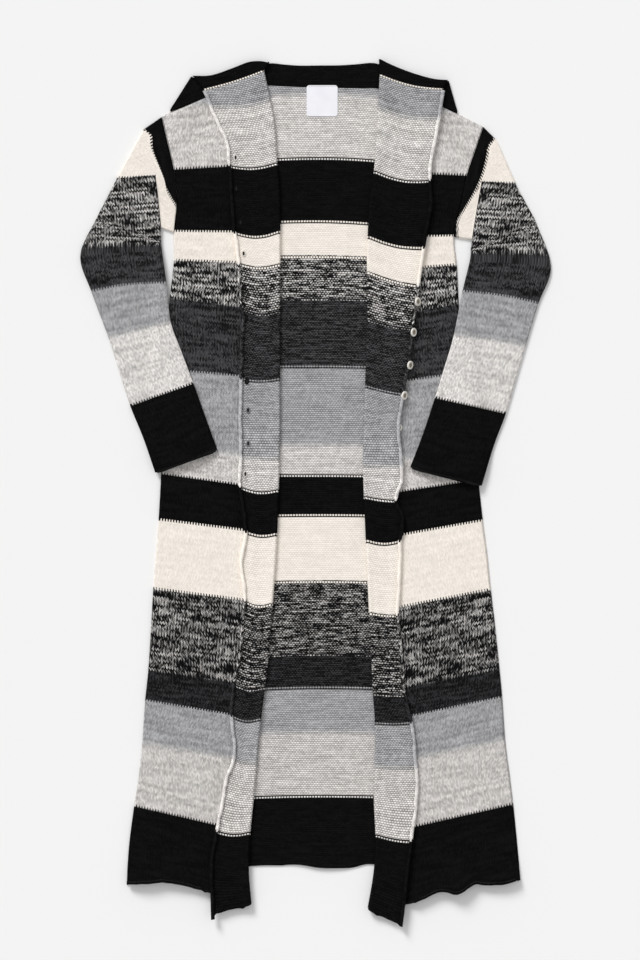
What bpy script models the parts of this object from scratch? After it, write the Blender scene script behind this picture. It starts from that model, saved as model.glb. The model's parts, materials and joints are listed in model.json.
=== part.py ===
"""Long striped knitted duster cardigan, laid flat on its back.

Both fronts are turned back along a loose fold, so they show their wrong side and leave
the back panel in view between them. The sleeves are turned down at the underarm, and their
cuffs lie on the fronts. X runs to the wearer's left, Y to the collar and Z up from the table.
Tables and functions are in millimetres, and meshes are made in metres.
"""
import math

import bmesh
import bpy
import numpy as np

MM = 0.001
# Middle of the whole outline on the table, which becomes the origin
MIDDLE = np.array([0.7, 1.0, 0.0])

# The knit and how its layers lie on each other
WALL = 1.8
SEAM_GAP = 0.3
LAYER = 2.3
BACK_Z = WALL / 2
FRONT_Z = BACK_Z + LAYER
FLAP_Z = FRONT_Z + LAYER
FOLD_HEIGHT = 4.6
FOLD_TOP_Z = FRONT_Z + FOLD_HEIGHT
SHARP_ANGLE = 50.0

# Rolled free edge of a flap: its radius, how much higher than the flap it lies, and the room
# for the buttons beneath it, which ends at a section and fades in over some of the flap's width
ROLL_RADIUS = 2.1
EDGE_LIFT = 0.3
BUTTON_ROOM = 1.8
BUTTONS_END_ROW = 12.0
BUTTONS_FADE_ROWS = 1.5
ROOM_START = 0.4
ROOM_LENGTH = 0.5

# Sections above the hem where a flap starts to rise, and the sections that it takes
FLAP_RISE_START = 2.6
FLAP_RISE_ROWS = 1.8

# Sections over which the shape of the neck fades into the straight rows of the back
NECK_FADE_ROWS = 2.0

# Sleeves: height between the layers, extra height in the middle, at the cap and at the foot
# of the tuck, the tuck's own height and slope, and the share of its line where it sets in
SLEEVE_LOFT = 3.0
MIDDLE_LOFT = 0.5
CAP_RISE = 0.3
FOOT_RISE = 0.8
FOOT_BACK = 2.2
TUCK_STEP = 2.3
TUCK_SLOPE = 1.8
TUCK_SETS_IN = 0.3
TUCK_FADE_ROWS = 2.5

# A sleeve climbs on to the front: the gap to it, and where the climb starts and how long it is
SLEEVE_GAP = 0.4
CLIMB_START = 30.0
CLIMB_LENGTH = 18.0
CLIMB_ROWS = 1.5

# Fronts: a row for each section from neck to hem. The side is the armhole or side seam, the
# fold is where the front turns back, and the edge is the free edge of the flap. The sag is
# how far the middle of the flap hangs below the straight line from fold to edge.
FRONT_COLUMNS = ("side_x", "side_y", "fold_x", "fold_y", "edge_x", "edge_y", "sag")
FRONT_RIGHT = np.array([
    (-229.8, 564.0, -76.0, 631.5, -166.5, 603.0, 2.0),
    (-222.0, 529.5, -62.0, 562.5, -143.0, 541.5, 2.0),
    (-211.5, 484.5, -56.4, 494.0, -130.5, 490.0, 5.0),
    (-207.0, 442.5, -52.5, 442.5, -127.0, 442.5, 5.0),
    (-211.5, 391.5, -52.0, 390.0, -120.8, 388.5, 6.5),
    (-211.5, 349.0, -52.0, 342.5, -117.0, 344.0, 5.0),
    (-217.5, 291.0, -52.5, 271.5, -110.0, 276.0, 6.0),
    (-220.5, 237.0, -52.5, 219.0, -107.5, 222.0, 4.0),
    (-223.5, 184.5, -52.5, 169.5, -110.0, 170.0, 3.0),
    (-227.0, 109.5, -52.5, 108.0, -112.5, 108.0, 1.0),
    (-229.5, 64.5, -53.5, 51.0, -112.0, 52.5, 0.0),
    (-230.5, 28.5, -54.6, 3.8, -115.0, 9.0, 5.0),
    (-234.3, -41.0, -57.0, -63.0, -104.7, -59.7, 4.0),
    (-238.5, -94.5, -60.0, -117.0, -112.5, -109.5, 3.0),
    (-242.3, -144.0, -63.6, -166.5, -104.3, -162.0, 5.0),
    (-246.0, -208.5, -68.3, -229.5, -111.8, -223.5, 5.0),
    (-249.8, -266.0, -75.3, -291.8, -123.3, -285.8, 6.0),
    (-254.5, -311.7, -81.3, -340.5, -127.0, -335.0, 5.0),
    (-259.0, -376.0, -87.3, -404.3, -122.3, -397.5, 3.0),
    (-264.6, -427.5, -92.3, -460.5, -138.0, -451.5, 2.0),
    (-271.0, -469.5, -97.0, -509.3, -149.6, -507.0, 4.0),
    (-278.5, -528.0, -99.5, -565.5, -157.5, -558.0, 2.0),
    (-282.3, -586.5, -95.3, -618.0, -156.0, -631.5, 0.0),
])
FRONT_LEFT = np.array([
    (252.0, 549.0, 96.6, 624.8, 190.5, 603.8, 5.0),
    (240.0, 514.5, 93.8, 562.5, 183.8, 547.5, 5.0),
    (227.0, 475.5, 88.0, 482.0, 172.5, 468.0, 6.0),
    (218.0, 432.0, 82.0, 435.0, 174.0, 424.5, 7.0),
    (207.3, 384.8, 78.5, 382.5, 165.8, 365.0, 5.0),
    (211.0, 342.0, 77.4, 331.5, 156.8, 310.5, 3.0),
    (213.8, 282.0, 78.0, 258.8, 147.8, 245.3, 2.0),
    (217.5, 229.5, 76.5, 207.0, 143.0, 196.5, 2.0),
    (223.5, 180.0, 74.7, 159.0, 133.5, 146.3, 1.0),
    (232.5, 109.5, 72.8, 94.5, 127.5, 94.5, 1.0),
    (237.8, 64.5, 72.0, 40.5, 132.0, 39.0, 0.0),
    (243.0, 19.5, 73.2, -6.0, 124.5, -12.0, 1.0),
    (249.8, -42.5, 76.2, -73.2, 132.0, -73.5, 4.0),
    (256.5, -94.5, 78.5, -127.5, 129.0, -127.5, 3.0),
    (261.6, -145.5, 81.0, -180.0, 128.3, -183.8, 1.0),
    (268.5, -205.5, 84.0, -240.0, 132.0, -243.0, 0.0),
    (274.5, -265.0, 87.0, -301.0, 138.8, -303.0, 1.0),
    (278.4, -307.0, 90.0, -345.8, 148.5, -345.0, 1.5),
    (283.0, -371.4, 89.4, -410.3, 151.5, -411.0, 1.0),
    (289.5, -423.0, 88.5, -460.5, 151.5, -465.0, 1.0),
    (294.8, -467.3, 90.8, -513.0, 145.2, -522.0, 2.0),
    (300.8, -528.0, 88.5, -565.5, 139.5, -580.5, 1.0),
    (305.4, -580.5, 78.8, -625.5, 132.0, -648.8, 0.0),
])
UNDERARM_ROW = 4
HEM_ROW = len(FRONT_RIGHT) - 1
NEAR_HEM = 0.4
ARMHOLE_ROWS = np.linspace(0, UNDERARM_ROW, 9)
BELOW_ARMHOLE = np.arange(UNDERARM_ROW + 1, HEM_ROW)
PANEL_ROWS = np.concatenate([ARMHOLE_ROWS, BELOW_ARMHOLE, [HEM_ROW - NEAR_HEM, HEM_ROW]])
TOP_SHARES = ARMHOLE_ROWS / UNDERARM_ROW

# Columns across a front: the rounded side, the lower layer, the fold, the flap and its roll
SIDE_ANGLES = np.radians([0.0, 32.0, 62.0, 90.0])
LOWER_SHARES = np.array([0.10, 0.235, 0.30, 0.41, 0.52, 0.66, 0.83])
FOLD_ANGLES = np.radians([-90.0, -54.0, -18.0, 18.0, 54.0, 90.0])
FLAP_SHARES = np.array([0.12, 0.30, 0.55, 0.80])
ROLL_ANGLES = np.radians([-55.0, -15.0, 25.0, 65.0, 105.0, 145.0])
SIDE_RADIUS = (LAYER - SEAM_GAP) / 2
SIDE_Z = (BACK_Z + FRONT_Z) / 2
LOWER_COLUMNS = slice(len(SIDE_ANGLES), len(SIDE_ANGLES) + len(LOWER_SHARES))
FOLD_COLUMNS = slice(LOWER_COLUMNS.stop, LOWER_COLUMNS.stop + len(FOLD_ANGLES))
FLAP_COLUMNS = slice(FOLD_COLUMNS.stop, FOLD_COLUMNS.stop + len(FLAP_SHARES) + 1)

# Middle of the back at each section of the fronts
BACK_MIDDLE_Y = np.array([
    609.0, 560.0, 502.5, 455.0, 406.5, 355.5, 291.0, 240.0, 189.0, 118.0, 72.0, 27.0,
    -34.0, -83.0, -132.0, -190.0, -241.5, -292.5, -358.5, -410.0, -453.8, -510.0, -555.0,
])

# Hem of each front from side (0) to fold (1): how far it is drawn up, and how high it lifts
HEM_COLUMNS = ("across", "drawn_up", "lift")
HEM_RIGHT = np.array([
    (0.00, 0.0, 4.0), (0.10, 4.0, 9.0), (0.30, 12.0, 8.0), (0.42, 13.5, 7.0),
    (0.55, 11.0, 5.0), (0.67, 9.0, 4.0), (1.00, 0.0, 3.0),
])
HEM_LEFT = np.array([
    (0.00, 0.0, 6.0), (0.07, -2.5, 8.0), (0.24, 4.0, 6.0), (0.30, 6.5, 7.0), (0.41, -2.0, 12.0),
    (0.52, 6.4, 6.0), (0.66, 0.0, 5.0), (0.83, -2.0, 4.0), (1.00, 0.0, 3.0),
])
BACK_HEM_COLUMNS = ("x", "drop", "lift")
BACK_HEM = np.array([(-72.0, 0.0, 0.0), (-30.0, 0.0, 3.0), (10.0, 7.0, 5.0), (50.0, 6.0, 3.0), (64.0, 0.0, 0.0)])

# Neck from the wearer's right to the left: the seam of the collar on the back, and the
# collar's upper edge above it. The first and last rows are the neck points, where it folds.
NECK_COLUMNS = ("seam_x", "seam_y", "top_x", "top_y")
NECK = np.array([
    (-215.5, 572.0, -186.0, 624.7),
    (-187.5, 582.8, -174.0, 619.5),
    (-135.0, 598.5, -133.5, 628.5),
    (-72.0, 610.8, -70.5, 644.5),
    (-22.5, 609.0, -22.5, 641.2),
    (37.5, 607.5, 37.5, 641.7),
    (91.5, 606.8, 88.5, 645.0),
    (142.5, 597.0, 139.5, 628.5),
    (187.5, 579.0, 181.5, 618.0),
    (212.0, 569.5, 200.5, 618.0),
])
NECK_STEPS = np.linspace(0, len(NECK) - 1, 2 * len(NECK) - 1)
BACK_NECK = np.column_stack([np.interp(NECK_STEPS, np.arange(len(NECK)), column) for column in NECK.T])

# Upper edge of the collar on the fronts. The share is the place along the seam, from the
# neck point (0) to the front's fold (1), and then from the fold (0) to the flap's edge (1).
COLLAR_COLUMNS = ("share", "top_x", "top_y")
COLLAR_RIGHT_UNDER = np.array([
    (0.0, -186.0, 624.7), (0.18, -170.0, 618.5), (0.45, -135.0, 628.0), (0.76, -96.0, 641.0),
    (1.0, -69.0, 646.2),
])
COLLAR_RIGHT_FLAP = np.array([
    (0.0, -69.0, 646.2), (0.22, -92.0, 647.5), (0.56, -124.0, 637.0), (0.82, -158.0, 626.0),
    (1.0, -184.0, 625.5),
])
COLLAR_LEFT_UNDER = np.array([
    (0.0, 200.5, 618.0), (0.2, 182.0, 617.0), (0.45, 148.0, 625.0), (0.76, 117.0, 638.0),
    (1.0, 96.6, 650.5),
])
COLLAR_LEFT_FLAP = np.array([
    (0.0, 96.6, 650.5), (0.22, 118.0, 640.5), (0.56, 153.0, 627.5), (0.82, 180.0, 620.5),
    (1.0, 199.0, 619.0),
])
NECK_STRAIGHT = 2.0
# Column of each front, next to the neck point, where the collar on it starts
COLLAR_FIRST_RIGHT = 5
COLLAR_FIRST_LEFT = 6

# Sleeves below the tuck, a row for each section from the upper arm to the cuff
SLEEVE_COLUMNS = ("outer_x", "outer_y", "inner_x", "inner_y", "bow")
SLEEVE_RIGHT = np.array([
    (-327.0, 414.0, -231.0, 379.5, 0.0),
    (-352.0, 357.0, -229.5, 363.6, 1.5),
    (-334.8, 300.3, -222.3, 313.0, 4.0),
    (-309.6, 232.5, -216.0, 256.5, 1.0),
    (-294.0, 183.0, -199.5, 210.8, 0.0),
    (-277.8, 132.5, -182.6, 165.8, 0.0),
    (-257.3, 81.8, -165.8, 118.5, 0.0),
    (-239.6, 30.8, -146.3, 65.0, -2.0),
])
SLEEVE_LEFT = np.array([
    (329.3, 411.0, 233.3, 364.5, 0.0),
    (353.4, 340.5, 231.8, 348.0, 1.5),
    (334.5, 283.5, 220.5, 301.5, 3.0),
    (314.3, 216.0, 207.0, 234.0, 1.0),
    (300.8, 169.5, 193.5, 188.3, 0.0),
    (286.5, 120.8, 180.0, 144.5, 0.0),
    (267.8, 70.5, 162.0, 90.0, 0.0),
    (249.8, 11.3, 142.5, 39.0, -2.0),
])
SLEEVE_ARC = np.radians([60.0, 20.0, -20.0, -60.0])
SLEEVE_SECTIONS = np.concatenate([np.arange(0, 1), np.linspace(1, len(SLEEVE_RIGHT) - 1, 13)])

# Top of each sleeve: a line half way over its cap, and the tuck where the sleeve is turned down
TUCK_COLUMNS = ("x", "y")
TUCK_ROWS = ("cap_outer", "cap_middle", "cap_inner", "tuck_outer", "tuck_point", "tuck_inner")
TUCK_RIGHT = dict(zip(TUCK_ROWS, ((-257.4, 545.3), (-226.0, 472.0), (-216.0, 392.5),
                                  (-297.6, 470.6), (-239.0, 475.2), (-232.0, 397.5))))
TUCK_LEFT = dict(zip(TUCK_ROWS, ((272.0, 529.5), (243.0, 452.0), (214.0, 383.2),
                                 (300.6, 462.8), (249.6, 465.8), (236.3, 380.3))))

# Woven label and buttons
LABEL_SIZE = (46.5, 46.5)
LABEL_CENTRE = (10.5, 588.5)
LABEL_THICK = 0.5
LABEL_CORNER = 4.0
LABEL_CORNER_STEPS = 5
BUTTON_RADIUS = 6.5
BUTTON_THICK = 2.0
BUTTON_DISH_RADIUS = 4.0
BUTTON_DISH = 0.6
BUTTON_EDGE = 0.5
BUTTON_HOLE_RADIUS = 0.8
BUTTON_HOLE_APART = 1.5
BUTTON_SIDES = 12
BUTTON_HOLE_SIDES = 8
BUTTON_LEAN = 52.0
BUTTON_REST = 0.4
BUTTON_COLUMNS = ("y", "leans", "peeps_out")
BUTTONS = (
    (536.0, False, -5.0), (489.0, False, -3.0), (440.0, False, 3.0), (389.0, False, -3.0),
    (337.0, False, -2.0), (286.8, True, 0.0), (241.0, True, 0.0), (191.8, True, 0.0),
    (146.4, True, 0.0), (98.3, False, 3.0), (52.5, False, 2.0),
)

KNIT_BLACK = (0.006, 0.006, 0.006, 1.0)
KNIT_GREY = (0.32, 0.32, 0.33, 1.0)
SATIN_WHITE = (0.86, 0.86, 0.92, 1.0)
SHELL_WHITE = (0.80, 0.76, 0.68, 1.0)
KNIT_ROUGHNESS = 0.9
SATIN_ROUGHNESS = 0.4
SHELL_ROUGHNESS = 0.25


def through(knots, values, at):
    """Smooth curve through the knots, whose slope at each is weighted from both sides."""
    knots = np.asarray(knots, float)
    values = np.asarray(values, float)
    at = np.asarray(at, float)
    step = np.diff(knots)
    rise = np.diff(values) / step
    slope = np.empty_like(values)
    slope[1:-1] = (rise[:-1] * step[1:] + rise[1:] * step[:-1]) / (step[:-1] + step[1:])
    slope[0] = rise[0]
    slope[-1] = rise[-1]
    piece = np.clip(np.searchsorted(knots, at, side="right") - 1, 0, len(step) - 1)
    width = step[piece]
    s = (at - knots[piece]) / width
    return ((1 + 2 * s) * (1 - s) ** 2 * values[piece] + s * (1 - s) ** 2 * width * slope[piece]
            + s * s * (3 - 2 * s) * values[piece + 1] + s * s * (s - 1) * width * slope[piece + 1])


def eased(value):
    """0 below 0, 1 above 1 and a smooth S between them."""
    value = np.clip(value, 0.0, 1.0)
    return value * value * (3 - 2 * value)


def unit(vector):
    """The same direction, one long."""
    return vector / np.linalg.norm(vector, axis=-1, keepdims=True)


def table_at(table, columns, row):
    """Smooth values of every column at a row number, by name."""
    knots = np.arange(len(table))
    return {name: through(knots, table[:, i], row) for i, name in enumerate(columns)}


def front_corners(table, row):
    """Side, fold and edge of a front at a row number, and the sag of its flap."""
    at = table_at(table, FRONT_COLUMNS, row)
    side = np.array([at["side_x"], at["side_y"]])
    fold = np.array([at["fold_x"], at["fold_y"]])
    edge = np.array([at["edge_x"], at["edge_y"]])
    return side, fold, edge, float(at["sag"])


def edge_height(row, room):
    """Height of the flap's free edge: it lies on the front, or on the buttons beneath it."""
    return FLAP_Z + EDGE_LIFT + room * eased((BUTTONS_END_ROW - row) / BUTTONS_FADE_ROWS)


def hem_share(row):
    """0 above the last section and 1 at the hem."""
    return max(0.0, row - (HEM_ROW - 1)) ** 2


def hem_lift(hem, across, row, is_flap):
    """Height that the hem's waves give a place this far across from side to fold. A flap
    hangs lower than the front beneath it, so it rises sooner."""
    rise = np.where(is_flap, eased((row - (HEM_ROW - FLAP_RISE_START)) / FLAP_RISE_ROWS), hem_share(row))
    return np.interp(across, hem[:, 0], hem[:, 2]) * rise


def side_points(side, inward, curl, turn):
    """Rounded side edge, from its seam to the flat of the panel: a quarter turn below the
    underarm (curl 1), flat along the armhole (curl 0). turn is 1 for a front, -1 for the back."""
    centre = side + inward * (SIDE_RADIUS + WALL / 2)
    curled_out = SIDE_RADIUS * np.cos(SIDE_ANGLES)
    curled_z = SIDE_Z + turn * (SEAM_GAP / 2 + SIDE_RADIUS * np.sin(SIDE_ANGLES))
    flat_out = np.linspace(SIDE_RADIUS + WALL / 2 - SEAM_GAP / 2, 0.0, len(SIDE_ANGLES))
    out = curl * curled_out + (1 - curl) * flat_out
    height = curl * curled_z + (1 - curl) * curled_z[-1]
    return np.column_stack([centre - np.outer(out, inward), height])


def front_section(table, hem, row, room):
    """Middle line of a front at one row: side edge, lower layer, fold, flap and rolled edge."""
    side, fold, edge, sag = front_corners(table, row)
    inward = unit(fold - side)
    outward = unit(edge - fold)
    curl = float(eased(row - UNDERARM_ROW))
    start = side_points(side, inward, curl, 1)
    fold_radius = (FOLD_TOP_Z - FRONT_Z) / 2
    ahead = unit(inward - outward)
    fold_centre = fold - ahead * (fold_radius + WALL / 2)
    lower = start[-1, :2] + np.outer(LOWER_SHARES, fold_centre - start[-1, :2])
    lower[:, 1] += np.interp(LOWER_SHARES, hem[:, 0], hem[:, 1]) * hem_share(row)
    lower = np.column_stack([lower, np.full(len(lower), FRONT_Z)])
    arc = np.column_stack([fold_centre + np.outer(fold_radius * np.cos(FOLD_ANGLES), ahead),
                           FRONT_Z + fold_radius * (1 + np.sin(FOLD_ANGLES))])
    edge_z = edge_height(row, room)
    roll_centre = edge - outward * (ROLL_RADIUS + WALL / 2)
    shares = np.append(FLAP_SHARES, 1.0)
    flap = fold_centre + np.outer(shares, roll_centre - fold_centre)
    flap[:, 1] -= sag * np.sin(np.pi * shares)
    rest_z = FLAP_Z + (edge_z - FLAP_Z) * eased((shares - ROOM_START) / ROOM_LENGTH)
    flap = np.column_stack([flap, rest_z + (FOLD_TOP_Z - rest_z) * (1 - shares) ** 3])
    roll = np.column_stack([roll_centre + np.outer(ROLL_RADIUS * np.cos(ROLL_ANGLES), outward),
                            edge_z + ROLL_RADIUS * (1 + np.sin(ROLL_ANGLES))])
    line = np.vstack([start, lower, arc, flap, roll])
    whole = np.linalg.norm(fold - side)
    across = np.clip(((line[:, :2] - side) @ inward) / whole, 0.0, 1.0)
    is_flap = np.arange(len(line)) > FOLD_COLUMNS.start + len(FOLD_ANGLES) // 2
    line[:, 2] += hem_lift(hem, across, row, is_flap)
    return line


def front_grid(table, hem, room):
    """All sections of a front, from the neck to the hem."""
    return np.array([front_section(table, hem, row, room) for row in PANEL_ROWS])


def back_section(row):
    """Middle line of the back at one row, from the wearer's right side to the left."""
    right = front_corners(FRONT_RIGHT, row)[0]
    left = front_corners(FRONT_LEFT, row)[0]
    middle_y = float(through(np.arange(len(BACK_MIDDLE_Y)), BACK_MIDDLE_Y, row))
    top_right = FRONT_RIGHT[0, :2]
    top_left = FRONT_LEFT[0, :2]
    share = (BACK_NECK[:, 0] - top_right[0]) / (top_left[0] - top_right[0])
    x = right[0] + share * (left[0] - right[0])
    centre_x = (right[0] + left[0]) / 2
    side_y = np.where(x < centre_x, right[1], left[1])
    reach = np.abs(x - centre_x) / ((left[0] - right[0]) / 2)
    arched = middle_y + (side_y - middle_y) * reach ** 2
    at_neck = eased(1 - row / NECK_FADE_ROWS)
    y = at_neck * (BACK_NECK[:, 1] - arched) + arched
    curl = float(eased(row - UNDERARM_ROW))
    first = side_points(right, unit(np.array([x[0], y[0]]) - right), curl, -1)
    last = side_points(left, unit(np.array([x[-1], y[-1]]) - left), curl, -1)[::-1]
    near_hem = max(0.0, row - (HEM_ROW - 1)) ** 2
    y = y - np.interp(x, BACK_HEM[:, 0], BACK_HEM[:, 1]) * near_hem
    z = BACK_Z + np.interp(x, BACK_HEM[:, 0], BACK_HEM[:, 2]) * near_hem
    return np.vstack([first, np.column_stack([x, y, z]), last])


def back_grid():
    """All sections of the back, from the neck to the hem."""
    return np.array([back_section(row) for row in PANEL_ROWS])


def collar_sections(seam, up, top):
    """Sections of the collar: its edge at the seam, a line straight on from it, the middle
    and the upper edge, level with the seam."""
    near = seam + up * NECK_STRAIGHT
    top = np.column_stack([top, seam[:, 2]])
    return np.stack([seam, near, (near + top) / 2, top], axis=1)


def collar_front(grid, first, neck_x, under, flap):
    """Sections of the collar on one front, made from the points of its upper edge: from the
    neck point to the fold, round the fold and along the flap. The first column is the one
    of the front next to the neck point."""
    up = unit(grid[0] - grid[1])
    seam = grid[0] + up * SEAM_GAP
    fold = seam[FOLD_COLUMNS, :2].mean(axis=0)
    corner = grid[0, FOLD_COLUMNS, :2]
    lower = np.arange(first, LOWER_COLUMNS.stop)
    share = (seam[lower, 0] - neck_x) / (fold[0] - neck_x)
    tops = [np.column_stack([through(under[:, 0], under[:, i], share) for i in (1, 2)])]
    tops.append(under[-1, 1:] + corner - corner[len(corner) // 2])
    edge = seam[FLAP_COLUMNS.stop - 1, 0]
    share = (seam[FLAP_COLUMNS, 0] - fold[0]) / (edge - fold[0])
    tops.append(np.column_stack([through(flap[:, 0], flap[:, i], share) for i in (1, 2)]))
    used = slice(first, FLAP_COLUMNS.stop)
    return collar_sections(seam[used], up[used], np.vstack(tops))


def collar_neck_fold(neck, beside, shoulder):
    """Sections of the collar round a neck point, from the back to the front. The neck row is
    the fold, the row beside it is on the back, and the shoulder is where the sleeve starts."""
    radius = LAYER / 2
    place = neck[:2]
    along_seam = unit(shoulder - place)
    along_top = unit(neck[2:] - beside[2:])
    up = np.array([-along_seam[1], along_seam[0], 0.0])
    up *= math.copysign(1.0, up[1])
    out = radius * np.cos(FOLD_ANGLES) - (radius + WALL / 2)
    height = BACK_Z + radius * (1 + np.sin(FOLD_ANGLES))
    seam = np.column_stack([place + np.outer(out, along_seam), height]) + up * 2 * SEAM_GAP
    return collar_sections(seam, up, neck[2:] + np.outer(out, along_top))


def collar_grid(back, front_right, front_left):
    """The whole band: right flap, right front, back of the neck, left front, left flap."""
    on_back = slice(len(SIDE_ANGLES) + 1, len(SIDE_ANGLES) + len(BACK_NECK) - 1)
    up = unit(back[0, on_back] - back[1, on_back])
    middle = collar_sections(back[0, on_back] + up * SEAM_GAP, up, BACK_NECK[1:-1, 2:])
    right_fold = collar_neck_fold(NECK[0], NECK[1], FRONT_RIGHT[0, :2])
    left_fold = collar_neck_fold(NECK[-1], NECK[-2], FRONT_LEFT[0, :2])
    right = collar_front(front_right, COLLAR_FIRST_RIGHT, NECK[0, 0], COLLAR_RIGHT_UNDER, COLLAR_RIGHT_FLAP)
    left = collar_front(front_left, COLLAR_FIRST_LEFT, NECK[-1, 0], COLLAR_LEFT_UNDER, COLLAR_LEFT_FLAP)
    return np.concatenate([right[::-1], right_fold[::-1], middle, left_fold, left])


def sleeve_ring(plan_top, plan_bottom, top_z, bottom_z):
    """Closed middle line of a flat tube: upper layer from outer to inner side, round the
    inner side, lower layer back, and round the outer side."""
    ring = []
    radius_in = (top_z[-1] - bottom_z[0]) / 2
    radius_out = (top_z[0] - bottom_z[-1]) / 2
    inward = unit(plan_top[-1] - plan_top[-2])
    outward = unit(plan_top[0] - plan_top[1])
    start = plan_top[0] - outward * (radius_out + WALL / 2)
    end = plan_top[-1] - inward * (radius_in + WALL / 2)
    upper = plan_top.copy()
    upper[0] = start
    upper[-1] = end
    lower = plan_bottom.copy()
    lower[0] = end
    lower[-1] = start
    ring.append(np.column_stack([upper, top_z]))
    ring.append(np.column_stack([end + np.outer(radius_in * np.cos(SLEEVE_ARC), inward),
                                 bottom_z[0] + radius_in * (1 + np.sin(SLEEVE_ARC))]))
    ring.append(np.column_stack([lower, bottom_z]))
    back_up = SLEEVE_ARC[::-1]
    ring.append(np.column_stack([start + np.outer(radius_out * np.cos(back_up), outward),
                                 bottom_z[-1] + radius_out * (1 + np.sin(back_up))]))
    return np.vstack(ring)


def on_body(points, table, sign):
    """Height of a sleeve's underside: 0 on the table, and clear of the front that it lies on."""
    order = np.argsort(table[:, 1])
    side_x = np.interp(points[:, 1], table[order, 1], table[order, 0])
    inside = (side_x - points[:, 0]) * sign
    full_height = FRONT_Z + WALL / 2 + SLEEVE_GAP
    return full_height * eased((inside + CLIMB_START) / CLIMB_LENGTH)


def sleeve_grid(body, table, tuck, sign):
    """Rings of a sleeve from the armhole over the tuck to the cuff."""
    armhole = np.array([front_corners(body, row)[0] for row in ARMHOLE_ROWS])
    armhole[:, 0] += sign * SEAM_GAP
    at = {name: np.array(place) for name, place in tuck.items()}
    cap_knots = np.array([at["cap_outer"], at["cap_middle"], at["cap_inner"]])
    cap = np.column_stack([through((0.0, 0.5, 1.0), cap_knots[:, i], TOP_SHARES) for i in (0, 1)])
    shares = TOP_SHARES * 2
    lip = np.where(shares[:, None] < 1,
                   at["tuck_outer"] + np.outer(np.minimum(shares, 1), at["tuck_point"] - at["tuck_outer"]),
                   at["tuck_point"] + np.outer(np.maximum(shares - 1, 0), at["tuck_inner"] - at["tuck_point"]))
    tucked = eased((shares - 1.0) / TUCK_SETS_IN)
    foot = lip + np.column_stack([-sign * TUCK_SLOPE * tucked, FOOT_BACK * (1 - tucked)])
    flat_top = np.full(len(TOP_SHARES), FRONT_Z)
    flat_bottom = np.full(len(TOP_SHARES), BACK_Z)
    bulge = np.sin(np.pi * TOP_SHARES) ** 0.5
    lip_top = FRONT_Z + np.maximum(TUCK_STEP * tucked, FOOT_RISE)
    rings = [sleeve_ring(armhole, armhole[::-1], flat_top, flat_bottom),
             sleeve_ring(cap, cap[::-1], flat_top + CAP_RISE, flat_bottom),
             sleeve_ring(foot, foot[::-1], flat_top + FOOT_RISE * (1 - tucked), flat_bottom),
             sleeve_ring(lip, lip[::-1], lip_top, flat_bottom)]
    for section in SLEEVE_SECTIONS:
        value = table_at(table, SLEEVE_COLUMNS, section)
        outer = np.array([value["outer_x"], value["outer_y"]])
        inner = np.array([value["inner_x"], value["inner_y"]])
        plan = outer + np.outer(TOP_SHARES, inner - outer)
        plan[:, 1] += value["bow"] * np.sin(np.pi * TOP_SHARES)
        climb = on_body(plan, body, sign) * eased(section / CLIMB_ROWS)
        bottom = BACK_Z + climb
        tuck_left = (TUCK_STEP - FOOT_RISE) * TOP_SHARES * eased(1 - section / TUCK_FADE_ROWS)
        top = bottom + SLEEVE_LOFT + tuck_left + MIDDLE_LOFT * bulge
        rings.append(sleeve_ring(plan, plan[::-1], top, bottom[::-1]))
    return np.array(rings)


def both_ways(lines, closed):
    """Direction along each line of points at every point, halfway between its two pieces.
    The direction at the ends keeps turning as the line does beside them."""
    if closed:
        ahead = unit(np.roll(lines, -1, axis=1) - lines)
        return ahead + np.roll(ahead, 1, axis=1)
    ahead = unit(np.diff(lines, axis=1))
    inner = unit(ahead[:, :-1] + ahead[:, 1:])
    first = 2 * ahead[:, :1] - inner[:, :1]
    last = 2 * ahead[:, -1:] - inner[:, -1:]
    return np.concatenate([first, inner, last], axis=1)


def wall_mesh(name, middle, closed=False):
    """Solid wall round a grid of middle points: every point is moved half the thickness to
    both sides along the surface normal, and the rims are closed between the two skins."""
    rows, columns = middle.shape[:2]
    across = both_ways(middle, closed)
    along = both_ways(middle.transpose(1, 0, 2), False).transpose(1, 0, 2)
    shift = unit(np.cross(along, across)) * WALL / 2
    points = np.concatenate([(middle + shift).reshape(-1, 3), (middle - shift).reshape(-1, 3)])
    points = (points - MIDDLE) * MM
    index = np.arange(rows * columns).reshape(rows, columns)
    if closed:
        index = np.column_stack([index, index[:, 0]])
    other = index + rows * columns
    quads = [np.stack([index[:-1, :-1], index[:-1, 1:], index[1:, 1:], index[1:, :-1]], axis=-1),
             np.stack([other[:-1, :-1], other[1:, :-1], other[1:, 1:], other[:-1, 1:]], axis=-1)]
    for rim, far in ((index[0], other[0]), (index[-1][::-1], other[-1][::-1])):
        quads.append(np.stack([rim[1:], rim[:-1], far[:-1], far[1:]], axis=-1))
    if not closed:
        for rim, far in ((index[:, 0], other[:, 0]), (index[::-1, -1], other[::-1, -1])):
            quads.append(np.stack([rim[:-1], rim[1:], far[1:], far[:-1]], axis=-1))
    faces = np.concatenate([quad.reshape(-1, 4) for quad in quads])
    mesh = bpy.data.meshes.new(name)
    mesh.from_pydata(points.tolist(), [], faces.tolist())
    return mesh


def faces_out(mesh):
    """Turn the faces of a closed mesh out, and shade its round stretches smooth."""
    body = bmesh.new()
    body.from_mesh(mesh)
    bmesh.ops.recalc_face_normals(body, faces=body.faces)
    body.to_mesh(mesh)
    body.free()
    mesh.shade_smooth()
    mesh.set_sharp_from_angle(angle=math.radians(SHARP_ANGLE))
    return mesh


def add_piece(name, mesh, material):
    """Named object of a piece, with its material."""
    mesh.materials.append(material)
    piece = bpy.data.objects.new(name, mesh)
    bpy.context.scene.collection.objects.link(piece)
    return piece


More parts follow.
